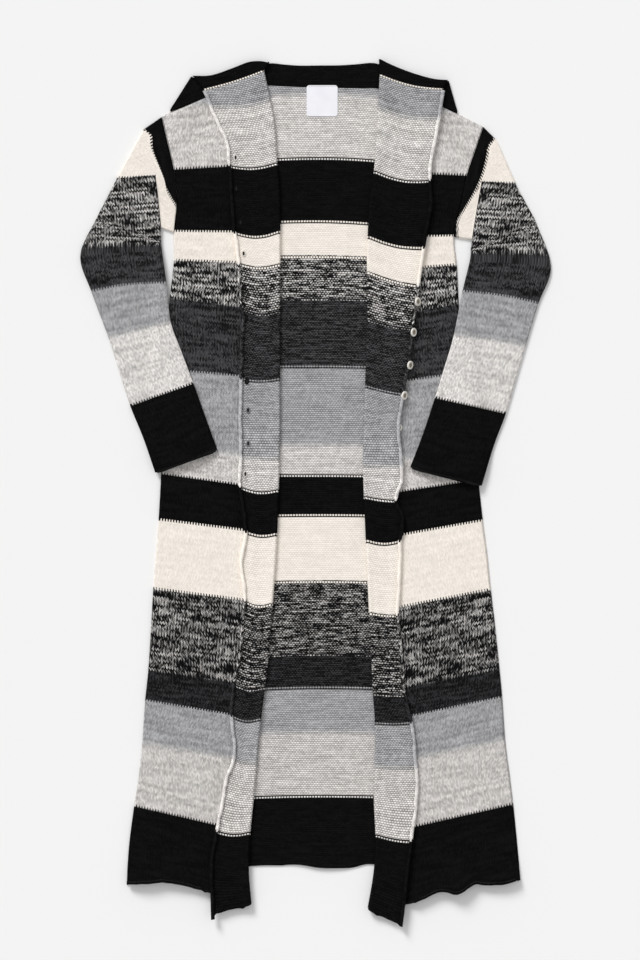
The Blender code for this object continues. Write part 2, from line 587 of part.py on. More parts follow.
def make_material(name, colour, roughness):
    """Plain surface of one colour."""
    material = bpy.data.materials.new(name)
    material.use_nodes = True
    shader = material.node_tree.nodes["Principled BSDF"]
    shader.inputs["Base Color"].default_value = colour
    shader.inputs["Roughness"].default_value = roughness
    material.diffuse_color = colour
    return material


def label_mesh():
    """Woven label: a thin slab with round corners, lying over the collar seam on the back."""
    width, length = LABEL_SIZE
    quarter = np.radians(np.linspace(0.0, 90.0, LABEL_CORNER_STEPS))
    outline = []
    for turn, (sx, sy) in enumerate(((1, 1), (-1, 1), (-1, -1), (1, -1))):
        centre = np.array([sx * (width / 2 - LABEL_CORNER), sy * (length / 2 - LABEL_CORNER)])
        angle = quarter + turn * math.pi / 2
        outline.append(centre + LABEL_CORNER * np.column_stack([np.cos(angle), np.sin(angle)]))
    outline = np.vstack(outline) + np.array(LABEL_CENTRE)
    count = len(outline)
    low = BACK_Z + WALL / 2 + SEAM_GAP
    levels = [np.column_stack([outline, np.full(count, z)]) for z in (low, low + LABEL_THICK)]
    faces = [list(range(count))[::-1], list(range(count, 2 * count))]
    faces += [[i, (i + 1) % count, (i + 1) % count + count, i + count] for i in range(count)]
    mesh = bpy.data.meshes.new("neck_label")
    mesh.from_pydata(((np.vstack(levels) - MIDDLE) * MM).tolist(), [], faces)
    return mesh


def button_template():
    """Turned shell button with a rounded rim, a dished face and two holes, axis along Z."""
    half = BUTTON_THICK / 2
    dish_bottom = half - BUTTON_DISH
    profile = (
        (0.0, -half), (BUTTON_RADIUS, -half), (BUTTON_RADIUS, half - BUTTON_EDGE),
        (BUTTON_RADIUS - BUTTON_EDGE, half), (BUTTON_DISH_RADIUS, half),
        (BUTTON_DISH_RADIUS - BUTTON_DISH, dish_bottom), (0.0, dish_bottom),
    )
    body = bmesh.new()
    rings = []
    for radius, height in profile:
        if radius == 0.0:
            rings.append([body.verts.new((0, 0, height * MM))])
            continue
        angles = [2 * math.pi * i / BUTTON_SIDES for i in range(BUTTON_SIDES)]
        rings.append([body.verts.new((radius * math.cos(a) * MM, radius * math.sin(a) * MM, height * MM))
                      for a in angles])
    for near, far in zip(rings, rings[1:]):
        for i in range(BUTTON_SIDES):
            j = (i + 1) % BUTTON_SIDES
            loop = [near[i % len(near)], near[j % len(near)], far[j % len(far)], far[i % len(far)]]
            body.faces.new(list(dict.fromkeys(loop)))
    bmesh.ops.recalc_face_normals(body, faces=body.faces)
    mesh = bpy.data.meshes.new("button")
    body.to_mesh(mesh)
    body.free()
    blank = bpy.data.objects.new("button_blank", mesh)
    bpy.context.scene.collection.objects.link(blank)
    cutters = []
    for side in (-1, 1):
        bpy.ops.mesh.primitive_cylinder_add(vertices=BUTTON_HOLE_SIDES, radius=BUTTON_HOLE_RADIUS * MM,
                                            depth=3 * BUTTON_THICK * MM,
                                            location=(side * BUTTON_HOLE_APART * MM, 0, 0))
        cutter = bpy.context.object
        cutters.append(cutter)
        cut = blank.modifiers.new("hole", "BOOLEAN")
        cut.operation = "DIFFERENCE"
        cut.object = cutter
    depsgraph = bpy.context.evaluated_depsgraph_get()
    finished = bpy.data.meshes.new_from_object(blank.evaluated_get(depsgraph))
    for used in (blank, *cutters):
        bpy.data.objects.remove(used)
    return finished


def place_button(mesh, name, y, leans, peeps_out, material):
    """Button at one height of the wearer's left front. It leans on the rolled edge that it
    is sewn to, or lies under the flap with its rim peeping out by the given length."""
    edges = np.array([front_corners(FRONT_LEFT, row)[2] for row in PANEL_ROWS])
    below = int(np.argmax(edges[:, 1] < y))
    share = (edges[below - 1, 1] - y) / (edges[below - 1, 1] - edges[below, 1])
    row = PANEL_ROWS[below - 1] + share * (PANEL_ROWS[below] - PANEL_ROWS[below - 1])
    edge = edges[below - 1] + share * (edges[below] - edges[below - 1])
    along = unit(edges[below - 1] - edges[below])
    outward_way = np.array([along[1], -along[0]])
    edge_z = float(edge_height(row, BUTTON_ROOM))
    lean = math.radians(BUTTON_LEAN) if leans else 0.0
    if leans:
        reach = ROLL_RADIUS + WALL / 2 + BUTTON_REST + BUTTON_THICK / 2
        out = reach * math.sin(lean) - (ROLL_RADIUS + WALL / 2)
        height = edge_z + ROLL_RADIUS + reach * math.cos(lean)
    else:
        out = peeps_out - BUTTON_RADIUS
        height = edge_z - WALL / 2 - SEAM_GAP - BUTTON_THICK / 2
    turn = math.atan2(outward_way[1], outward_way[0])
    piece = add_piece(name, mesh, material)
    piece.rotation_euler = (0.0, lean, turn)
    place = np.append(edge + outward_way * out, height)
    piece.location = (place - MIDDLE) * MM
    return piece


for old in list(bpy.data.objects):
    bpy.data.objects.remove(old)

knit_black = make_material("knit_black", KNIT_BLACK, KNIT_ROUGHNESS)
knit_striped = make_material("knit_striped", KNIT_GREY, KNIT_ROUGHNESS)
satin = make_material("satin_label", SATIN_WHITE, SATIN_ROUGHNESS)
shell = make_material("shell_button", SHELL_WHITE, SHELL_ROUGHNESS)

back = back_grid()
front_right = front_grid(FRONT_RIGHT, HEM_RIGHT, 0.0)
front_left = front_grid(FRONT_LEFT, HEM_LEFT, BUTTON_ROOM)
panels = (
    ("back", back, False, knit_striped),
    ("front_right", front_right, False, knit_striped),
    ("front_left", front_left, False, knit_striped),
    ("sleeve_right", sleeve_grid(FRONT_RIGHT, SLEEVE_RIGHT, TUCK_RIGHT, -1), True, knit_striped),
    ("sleeve_left", sleeve_grid(FRONT_LEFT, SLEEVE_LEFT, TUCK_LEFT, 1), True, knit_striped),
    ("collar", collar_grid(back, front_right, front_left), False, knit_black),
)
for node, grid, is_tube, finish in panels:
    add_piece(node, faces_out(wall_mesh(node, grid, is_tube)), finish)

add_piece("neck_label", faces_out(label_mesh()), satin)

button_mesh = button_template()
for number, (button_y, button_leans, button_peeps) in enumerate(BUTTONS, 1):
    node = f"button_{number:02d}"
    copied = button_mesh.copy()
    place_button(copied, node, button_y, button_leans, button_peeps, shell)
bpy.data.meshes.remove(button_mesh)
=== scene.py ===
"""Long striped knitted duster cardigan, laid flat on its back on a pale table.

The tables are in millimetres, with X to the wearer's left, Y to the collar and Z up.
"""
import functools
import json
import math

import bpy
import numpy as np
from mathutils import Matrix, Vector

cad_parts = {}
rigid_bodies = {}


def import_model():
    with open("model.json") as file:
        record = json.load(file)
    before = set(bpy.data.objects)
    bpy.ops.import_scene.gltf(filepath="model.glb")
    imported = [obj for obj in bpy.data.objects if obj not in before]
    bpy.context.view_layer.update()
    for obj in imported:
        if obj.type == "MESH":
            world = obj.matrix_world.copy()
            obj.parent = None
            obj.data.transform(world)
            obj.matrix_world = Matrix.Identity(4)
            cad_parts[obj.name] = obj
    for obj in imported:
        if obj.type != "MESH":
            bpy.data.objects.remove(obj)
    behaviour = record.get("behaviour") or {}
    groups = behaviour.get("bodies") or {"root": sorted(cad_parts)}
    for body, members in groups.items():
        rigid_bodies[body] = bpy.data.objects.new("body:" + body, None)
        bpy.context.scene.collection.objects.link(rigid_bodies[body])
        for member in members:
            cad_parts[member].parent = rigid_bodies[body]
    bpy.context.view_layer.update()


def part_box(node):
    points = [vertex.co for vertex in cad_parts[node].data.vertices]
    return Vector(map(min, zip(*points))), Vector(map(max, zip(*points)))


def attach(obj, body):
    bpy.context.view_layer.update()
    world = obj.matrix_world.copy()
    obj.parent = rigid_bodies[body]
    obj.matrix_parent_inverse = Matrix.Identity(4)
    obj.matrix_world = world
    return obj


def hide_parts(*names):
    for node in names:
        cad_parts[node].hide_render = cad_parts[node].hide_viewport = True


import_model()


# The table, lights and camera
# A plain matt paper surface under a large soft lamp at the upper left, with an even fill, and
# a long lens straight above the middle of the garment.
MM = 0.001
# The photograph's middle, where the camera looks, and the height of its frame
VIEW_MIDDLE = (6.65, 18.8)
VIEW_HEIGHT = 1440.0
CAMERA_HEIGHT = 6000.0
SENSOR_WIDTH = 36.0
PAPER = "#F4F4F4"
# Half the width of the table top, and how far it lies below the cloth, in metres
TABLE_HALF = 12.0
TABLE_DROP = 0.0003


def linear(code, alpha=1.0):
    """sRGB hex to linear light: each channel is divided by 12.92 near black, and otherwise
    raised to 2.4 after an offset of 0.055."""
    channels = np.array([int(code[i:i + 2], 16) for i in (1, 3, 5)]) / 255
    light = np.where(channels <= 0.04045, channels / 12.92, ((channels + 0.055) / 1.055) ** 2.4)
    return (*light, alpha)


def new_material(name, roughness):
    """A material of one roughness, with its node tree and its surface shader."""
    material = bpy.data.materials.new(name)
    material.use_nodes = True
    surface = material.node_tree.nodes["Principled BSDF"]
    surface.inputs["Roughness"].default_value = roughness
    return material, material.node_tree, surface


paper, _, surface = new_material("matt_paper", 0.9)
surface.inputs["Base Color"].default_value = linear(PAPER)
floor_mesh = bpy.data.meshes.new("table")
corner_signs = ((-1, -1), (1, -1), (1, 1), (-1, 1))
floor_corners = [(x * TABLE_HALF, y * TABLE_HALF, -TABLE_DROP) for x, y in corner_signs]
floor_mesh.from_pydata(floor_corners, [], [(0, 1, 2, 3)])
floor_mesh.materials.append(paper)
table_top = bpy.data.objects.new("table", floor_mesh)
bpy.context.scene.collection.objects.link(table_top)

world = bpy.data.worlds.new("studio")
bpy.context.scene.world = world
world.use_nodes = True
world.node_tree.nodes["Background"].inputs["Color"].default_value = linear("#FFFFFF")

# The sky's share of the light on the table, and a large far lamp at the upper left: its power,
# its width as an angle, its height above the table and its direction, from +X to +Y
SKY_STRENGTH = 0.60
KEY_POWER = 2.29
KEY_WIDTH = math.radians(22.0)
KEY_HEIGHT = math.radians(33.0)
KEY_DIRECTION = math.radians(120.0)
world.node_tree.nodes["Background"].inputs["Strength"].default_value = SKY_STRENGTH
key_lamp = bpy.data.lights.new("key", "SUN")
key_lamp.energy = KEY_POWER
key_lamp.angle = KEY_WIDTH
key_object = bpy.data.objects.new("key", key_lamp)
key_object.rotation_euler = (0.0, math.pi / 2 - KEY_HEIGHT, KEY_DIRECTION)
bpy.context.scene.collection.objects.link(key_object)

bpy.context.scene.view_settings.view_transform = "Standard"
camera = bpy.data.cameras.new("above")
camera.sensor_width = SENSOR_WIDTH
camera.lens = SENSOR_WIDTH * CAMERA_HEIGHT / VIEW_HEIGHT
camera.clip_end = 100.0
camera_object = bpy.data.objects.new("above", camera)
camera_object.location = (VIEW_MIDDLE[0] * MM, VIEW_MIDDLE[1] * MM, CAMERA_HEIGHT * MM)
bpy.context.scene.collection.objects.link(camera_object)
bpy.context.scene.camera = camera_object


# The two fronts
# Each is knitted flat in stockinette and is plain along its free edge, which curls. It is
# turned back along a loose fold, so its outer strip lies on it with the purl side up.

# Wall of the knitting, the gap at a seam, and the step from one layer to the next
WALL = 1.8
SEAM_GAP = 0.3
LAYER = 2.3
# Heights of the middle of each layer, and of the top of the fold
BACK_Z = WALL / 2
FRONT_Z = BACK_Z + LAYER
FLAP_Z = FRONT_Z + LAYER
FOLD_TOP_Z = FRONT_Z + 4.6
# The flap's rolled edge: its radius, and how much higher it lies on the buttons
ROLL_RADIUS = 2.1
BUTTON_ROOM = 1.8
# Middle of the outline, which is the frame's origin, in the tables' coordinates
MIDDLE = np.array([0.7, 1.0, 0.0])

# A row for each section from neck to hem: side seam, fold and free edge of the flap, and how
# far the flap's middle sags below the line from fold to edge.
# Columns: side x, side y, fold x, fold y, edge x, edge y, sag
FRONT_RIGHT = np.array([
    (-229.8, 564.0, -76.0, 631.5, -166.5, 603.0, 2.0),
    (-222.0, 529.5, -62.0, 562.5, -143.0, 541.5, 2.0),
    (-211.5, 484.5, -56.4, 494.0, -130.5, 490.0, 5.0),
    (-207.0, 442.5, -52.5, 442.5, -127.0, 442.5, 5.0),
    (-211.5, 391.5, -52.0, 390.0, -120.8, 388.5, 6.5),
    (-211.5, 349.0, -52.0, 342.5, -117.0, 344.0, 5.0),
    (-217.5, 291.0, -52.5, 271.5, -110.0, 276.0, 6.0),
    (-220.5, 237.0, -52.5, 219.0, -107.5, 222.0, 4.0),
    (-223.5, 184.5, -52.5, 169.5, -110.0, 170.0, 3.0),
    (-227.0, 109.5, -52.5, 108.0, -112.5, 108.0, 1.0),
    (-229.5, 64.5, -53.5, 51.0, -112.0, 52.5, 0.0),
    (-230.5, 28.5, -54.6, 3.8, -115.0, 9.0, 5.0),
    (-234.3, -41.0, -57.0, -63.0, -104.7, -59.7, 4.0),
    (-238.5, -94.5, -60.0, -117.0, -112.5, -109.5, 3.0),
    (-242.3, -144.0, -63.6, -166.5, -104.3, -162.0, 5.0),
    (-246.0, -208.5, -68.3, -229.5, -111.8, -223.5, 5.0),
    (-249.8, -266.0, -75.3, -291.8, -123.3, -285.8, 6.0),
    (-254.5, -311.7, -81.3, -340.5, -127.0, -335.0, 5.0),
    (-259.0, -376.0, -87.3, -404.3, -122.3, -397.5, 3.0),
    (-264.6, -427.5, -92.3, -460.5, -138.0, -451.5, 2.0),
    (-271.0, -469.5, -97.0, -509.3, -149.6, -507.0, 4.0),
    (-278.5, -528.0, -99.5, -565.5, -157.5, -558.0, 2.0),
    (-282.3, -586.5, -95.3, -618.0, -156.0, -631.5, 0.0),
])
FRONT_LEFT = np.array([
    (252.0, 549.0, 96.6, 624.8, 190.5, 603.8, 5.0),
    (240.0, 514.5, 93.8, 562.5, 183.8, 547.5, 5.0),
    (227.0, 475.5, 88.0, 482.0, 172.5, 468.0, 6.0),
    (218.0, 432.0, 82.0, 435.0, 174.0, 424.5, 7.0),
    (207.3, 384.8, 78.5, 382.5, 165.8, 365.0, 5.0),
    (211.0, 342.0, 77.4, 331.5, 156.8, 310.5, 3.0),
    (213.8, 282.0, 78.0, 258.8, 147.8, 245.3, 2.0),
    (217.5, 229.5, 76.5, 207.0, 143.0, 196.5, 2.0),
    (223.5, 180.0, 74.7, 159.0, 133.5, 146.3, 1.0),
    (232.5, 109.5, 72.8, 94.5, 127.5, 94.5, 1.0),
    (237.8, 64.5, 72.0, 40.5, 132.0, 39.0, 0.0),
    (243.0, 19.5, 73.2, -6.0, 124.5, -12.0, 1.0),
    (249.8, -42.5, 76.2, -73.2, 132.0, -73.5, 4.0),
    (256.5, -94.5, 78.5, -127.5, 129.0, -127.5, 3.0),
    (261.6, -145.5, 81.0, -180.0, 128.3, -183.8, 1.0),
    (268.5, -205.5, 84.0, -240.0, 132.0, -243.0, 0.0),
    (274.5, -265.0, 87.0, -301.0, 138.8, -303.0, 1.0),
    (278.4, -307.0, 90.0, -345.8, 148.5, -345.0, 1.5),
    (283.0, -371.4, 89.4, -410.3, 151.5, -411.0, 1.0),
    (289.5, -423.0, 88.5, -460.5, 151.5, -465.0, 1.0),
    (294.8, -467.3, 90.8, -513.0, 145.2, -522.0, 2.0),
    (300.8, -528.0, 88.5, -565.5, 139.5, -580.5, 1.0),
    (305.4, -580.5, 78.8, -625.5, 132.0, -648.8, 0.0),
])
# Small waves of the free edges beyond those lines. Columns: y, how far outward
WAVES_RIGHT = np.array([
    (-640.0, 0.0), (-565.0, 0.0), (-453.0, 1.0), (-423.0, 6.5), (-411.0, 4.0), (-378.0, 0.5),
    (-300.0, 1.5), (-250.0, -0.3), (-220.0, 2.0), (-187.0, 5.5), (-160.0, 3.5), (-115.0, 0.4),
    (-85.0, 2.8), (5.0, -0.5), (35.0, 2.0), (120.0, 2.5), (170.0, 4.0), (222.0, 5.5), (266.0, 1.2),
    (312.0, 2.0), (347.0, 0.0), (402.0, 2.3), (455.0, 0.5), (497.0, 0.5), (515.0, -2.8),
    (531.0, -3.2), (541.0, -0.2), (569.0, 1.7), (597.0, 1.6), (607.0, 3.0),
])
WAVES_LEFT = np.array([
    (-651.0, -1.0), (-550.0, 0.0), (-438.0, 3.0), (-418.0, 2.7), (-372.0, 0.2), (-328.0, -2.5),
    (-220.0, 0.2), (-193.0, -2.8), (-120.0, 0.0), (-72.0, -3.0), (-58.0, 2.1), (-37.0, 7.0),
    (-28.0, 5.5), (-13.0, -1.5), (17.0, 3.0), (30.0, 0.0), (120.0, 0.0), (300.0, 0.0),
    (392.0, -1.4), (414.0, -0.7), (440.0, 3.0), (455.0, 3.0), (497.0, -0.7), (560.0, 2.5),
    (593.0, 3.0), (606.0, 4.0),
])
# Middle of the back at the same sections. The knitting is measured along it.
BACK_MIDDLE_Y = np.array([
    609.0, 560.0, 502.5, 455.0, 406.5, 355.5, 291.0, 240.0, 189.0, 118.0, 72.0, 27.0,
    -34.0, -83.0, -132.0, -190.0, -241.5, -292.5, -358.5, -410.0, -453.8, -510.0, -555.0,
])
# Sections at the underarm and at the hem
UNDERARM_ROW = 4
HEM_ROW = len(FRONT_RIGHT) - 1
# Width and height of one stitch
STITCH = 4.2
COURSE = 2.8
# Hem of each front. Columns: place from side (0) to fold (1), how far it is drawn up, and how
# high it lifts
HEM_RIGHT = np.array([
    (0.00, 0.0, 4.0), (0.10, 4.0, 9.0), (0.30, 12.0, 8.0), (0.42, 13.5, 7.0),
    (0.55, 11.0, 5.0), (0.67, 9.0, 4.0), (1.00, 0.0, 3.0),
])
HEM_LEFT = np.array([
    (0.00, 0.0, 6.0), (0.07, -2.5, 8.0), (0.24, 4.0, 6.0), (0.30, 6.5, 7.0), (0.41, -2.0, 12.0),
    (0.52, 6.4, 6.0), (0.66, 0.0, 5.0), (0.83, -2.0, 4.0), (1.00, 0.0, 3.0),
])
# Columns of a front: shares of the lower layer's and the flap's width, and angles of the arcs
# at its side, its fold and its free edge
LOWER_SHARES = np.array([0.10, 0.235, 0.30, 0.41, 0.52, 0.66, 0.83])
FLAP_SHARES = np.array([0.12, 0.30, 0.55, 0.80])
SIDE_ANGLES = np.radians([0.0, 32.0, 62.0, 90.0])
FOLD_ANGLES = np.radians([-90.0, -54.0, -18.0, 18.0, 54.0, 90.0])
ROLL_ANGLES = np.radians([-55.0, -15.0, 25.0, 65.0, 105.0, 145.0])
SIDE_RADIUS = (LAYER - SEAM_GAP) / 2
SIDE_Z = (BACK_Z + FRONT_Z) / 2
LOWER_COLUMNS = slice(len(SIDE_ANGLES), len(SIDE_ANGLES) + len(LOWER_SHARES))
FOLD_COLUMNS = slice(LOWER_COLUMNS.stop, LOWER_COLUMNS.stop + len(FOLD_ANGLES))
FLAP_COLUMNS = slice(FOLD_COLUMNS.stop, FOLD_COLUMNS.stop + len(FLAP_SHARES) + 1)
# The free edge: how high it lies over the flap, the section where the buttons beneath it end
# and over how many sections, and how much it strays sideways, in its radius and in its turn
EDGE_LIFT = 0.3
BUTTONS_END_ROW = 12.0
BUTTONS_FADE_ROWS = 1.5
EDGE_STRAYS = 0.5
RADIUS_STRAYS = 0.14
TURN_STRAYS = 0.6
# Share of the flap's width where it starts to rise to its edge, and the share that this takes
RISE_START = 0.4
RISE_WIDTH = 0.5
# Sections above the hem where the flap starts to lift, and over how many it does
FLAP_LIFT_START = 2.6
FLAP_LIFT_ROWS = 1.8
# The cast-off edges roll: radius, how far round, and the extra rows of the roll
HEM_ROLL = 2.1
HEM_TURN = math.radians(215.0)
HEM_STEPS = np.linspace(0.0, 1.0, 10)
# Radius of the hem's corners, how unevenly it is drawn in, and how far up that reaches
HEM_CORNER = 6.0
HEM_WAVER = 0.9
HEM_REACH = 25.0
# Where a front's hem starts to roll, from the flap's edge, from the fold and from the side, and
# the width over which the roll grows
CURL_PAST_EDGE = 4.0
CURL_PAST_FOLD = 6.0
CURL_PAST_SIDE = 4.0
CURL_GROWS = 14.0
# Columns over which the roll ends, and over which the tail begins, at the free edge
CURL_END_COLUMNS = 0.6
TAIL_COLUMNS = 1.5
# How much longer than the flap its rolled free edge hangs
TAIL_RIGHT = 7.0
TAIL_LEFT = 1.0
# Fine sections down a panel, and how many fine columns replace each of the columns above
BODY_ROWS = np.linspace(0, HEM_ROW, 281)
FRONT_FINENESS = 5


def through(knots, values, at):
    """Cubic through the knots, whose slope at each is the mean of both sides' slopes, each
    weighted by the other side's width. Values may have several columns."""
    knots = np.asarray(knots, float)
    values = np.asarray(values, float)
    at = np.asarray(at, float)
    extra = (1,) * (values.ndim - 1)
    step = np.diff(knots).reshape(-1, *extra)
    rise = np.diff(values, axis=0) / step
    slope = np.empty_like(values)
    slope[1:-1] = (rise[:-1] * step[1:] + rise[1:] * step[:-1]) / (step[:-1] + step[1:])
    slope[0] = rise[0]
    slope[-1] = rise[-1]
    piece = np.clip(np.searchsorted(knots, at, side="right") - 1, 0, len(knots) - 2)
    width = step[piece]
    s = ((at - knots[piece]).reshape(width.shape)) / width
    return ((1 + 2 * s) * (1 - s) ** 2 * values[piece] + s * (1 - s) ** 2 * width * slope[piece]
            + s * s * (3 - 2 * s) * values[piece + 1] + s * s * (s - 1) * width * slope[piece + 1])


def eased(value):
    """0 below 0, 1 above 1 and a smooth S, 3v² - 2v³, between them."""
    value = np.clip(value, 0.0, 1.0)
    return value * value * (3 - 2 * value)


def unit(vector):
    """The same direction, one long."""
    return vector / np.linalg.norm(vector, axis=-1, keepdims=True)


def uneven(along, start):
    """Sum of four sines of unrelated lengths, from about -1 to 1, at a place in millimetres."""
    lengths = np.array([94.0, 57.0, 36.0, 23.0])
    shares = np.array([0.35, 0.30, 0.20, 0.15])
    return float(shares @ np.sin(2 * math.pi * (along / lengths + start * np.arange(1, 5))))


def front_corners(table, row):
    """Side, fold and edge of a front at a row number, and the sag of its flap."""
    at = through(np.arange(len(table)), table, np.array([row]))[0]
    return at[0:2], at[2:4], at[4:6], at[6]


def edge_height(row, room):
    """Height of the flap's free edge: it lies on the front, or on the buttons beneath it."""
    return FLAP_Z + EDGE_LIFT + room * eased((BUTTONS_END_ROW - row) / BUTTONS_FADE_ROWS)


def hem_share(row):
    """0 above the last section and 1 at the hem."""
    return max(0.0, row - (HEM_ROW - 1)) ** 2


def hem_lift(hem, across, row, is_flap):
    """Height that the hem's waves give a place this far across from side to fold. A flap
    hangs lower than the front beneath it, so it rises sooner."""
    rise = np.where(is_flap, eased((row - (HEM_ROW - FLAP_LIFT_START)) / FLAP_LIFT_ROWS), hem_share(row))
    return np.interp(across, hem[:, 0], hem[:, 2]) * rise


def side_points(side, inward, curl, turn):
    """Rounded side edge, from its seam to the flat of the panel: a quarter turn below the
    underarm (curl 1), flat along the armhole (curl 0). turn is 1 for a front, -1 for the back."""
    centre = side + inward * (SIDE_RADIUS + WALL / 2)
    curled_out = SIDE_RADIUS * np.cos(SIDE_ANGLES)
    curled_z = SIDE_Z + turn * (SEAM_GAP / 2 + SIDE_RADIUS * np.sin(SIDE_ANGLES))
    flat_out = np.linspace(SIDE_RADIUS + WALL / 2 - SEAM_GAP / 2, 0.0, len(SIDE_ANGLES))
    out = curl * curled_out + (1 - curl) * flat_out
    height = curl * curled_z + (1 - curl) * curled_z[-1]
    return np.column_stack([centre - np.outer(out, inward), height])


def front_section(table, waves, hem, row, room):
    """Middle line of a front at one row: side edge, lower layer, fold, flap and rolled edge."""
    side, fold, edge, sag = front_corners(table, row)
    inward = unit(fold - side)
    outward = unit(edge - fold)
    place = edge[1]
    wave = np.interp(place, waves[:, 0], waves[:, 1]) + EDGE_STRAYS * uneven(place, room + 0.1)
    edge = edge + outward * wave
    roll_radius = ROLL_RADIUS * (1.0 + RADIUS_STRAYS * uneven(2.2 * place, room + 0.3))
    turned = np.linspace(0, TURN_STRAYS, len(ROLL_ANGLES)) * uneven(1.7 * place, room + 0.6)
    roll_angles = ROLL_ANGLES + turned
    start = side_points(side, inward, eased(row - UNDERARM_ROW), 1)
    fold_radius = (FOLD_TOP_Z - FRONT_Z) / 2
    ahead = unit(inward - outward)
    fold_centre = fold - ahead * (fold_radius + WALL / 2)
    lower = start[-1, :2] + np.outer(LOWER_SHARES, fold_centre - start[-1, :2])
    lower[:, 1] += np.interp(LOWER_SHARES, hem[:, 0], hem[:, 1]) * hem_share(row)
    lower = np.column_stack([lower, np.full(len(lower), FRONT_Z)])
    arc = np.column_stack([fold_centre + np.outer(fold_radius * np.cos(FOLD_ANGLES), ahead),
                           FRONT_Z + fold_radius * (1 + np.sin(FOLD_ANGLES))])
    edge_z = edge_height(row, room)
    roll_centre = edge - outward * (roll_radius + WALL / 2)
    shares = np.append(FLAP_SHARES, 1.0)
    flap = fold_centre + np.outer(shares, roll_centre - fold_centre)
    flap[:, 1] -= sag * np.sin(np.pi * shares)
    rest_z = FLAP_Z + (edge_z - FLAP_Z) * eased((shares - RISE_START) / RISE_WIDTH)
    flap = np.column_stack([flap, rest_z + (FOLD_TOP_Z - rest_z) * (1 - shares) ** 3])
    roll = np.column_stack([roll_centre + np.outer(roll_radius * np.cos(roll_angles), outward),
                            edge_z + roll_radius * (1 + np.sin(roll_angles))])
    line = np.vstack([start, lower, arc, flap, roll])
    whole = np.linalg.norm(fold - side)
    across = np.clip(((line[:, :2] - side) @ inward) / whole, 0.0, 1.0)
    is_flap = np.arange(len(line)) > FOLD_COLUMNS.start + len(FOLD_ANGLES) // 2
    line[:, 2] += hem_lift(hem, across, row, is_flap)
    return line


def run_length(points, axis=0):
    """Length along a grid of points in one direction, from the first to each."""
    step = np.linalg.norm(np.diff(points, axis=axis), axis=-1)
    return np.insert(np.cumsum(step, axis=axis), 0, 0.0, axis=axis)


def finer_columns(grid, fineness):
    """Each column's interval is split, on the cubic through the columns."""
    columns = grid.shape[1]
    at = np.linspace(0, columns - 1, (columns - 1) * fineness + 1)
    return through(np.arange(columns), grid.transpose(1, 0, 2), at).transpose(1, 0, 2)


def both_ways(lines, closed):
    """Direction along each line of points at every point, halfway between its two pieces."""
    if closed:
        ahead = unit(np.roll(lines, -1, axis=1) - lines)
        return ahead + np.roll(ahead, 1, axis=1)
    ahead = unit(np.diff(lines, axis=1))
    inner = unit(ahead[:, :-1] + ahead[:, 1:])
    return np.concatenate([2 * ahead[:, :1] - inner[:, :1], inner, 2 * ahead[:, -1:] - inner[:, -1:]], axis=1)


def pulled_end(grid, pull):
    """The panel with its end drawn back by a length for each column, and the rows before it
    less and less over the reach. A length below 0 makes it longer."""
    up = run_length(grid[::-1])[::-1]
    back = unit(grid[-2] - grid[-1])
    return grid + back * (pull * eased(1 - up / HEM_REACH))[:, :, None]


def rolled_end(grid, curl, facing, closed=False):
    """The panel with its last row rolled towards one face. Each column leaves the sheet before
    its end and goes on along an arc of curvature curl over the radius, so that it reaches just
    as far. Where curl is 0 it goes straight. Also gives the length that is added."""
    ahead = unit(grid[-1] - grid[-2])
    across = both_ways(grid[-1:], closed)[0]
    lean = facing * unit(np.cross(ahead, across))
    start = grid[-1] - ahead * (HEM_ROLL + WALL / 2 * curl)[:, None]
    whole = HEM_ROLL * (1 + (HEM_TURN - 1) * curl)
    length = HEM_STEPS[:, None] * whole
    turn = length * curl / HEM_ROLL
    out = length * np.sinc(turn / np.pi)
    rise = length * turn / 2 * np.sinc(turn / 2 / np.pi) ** 2
    roll = start + ahead * out[:, :, None] + lean * rise[:, :, None]
    return np.concatenate([grid[:-1], roll]), length[1:]


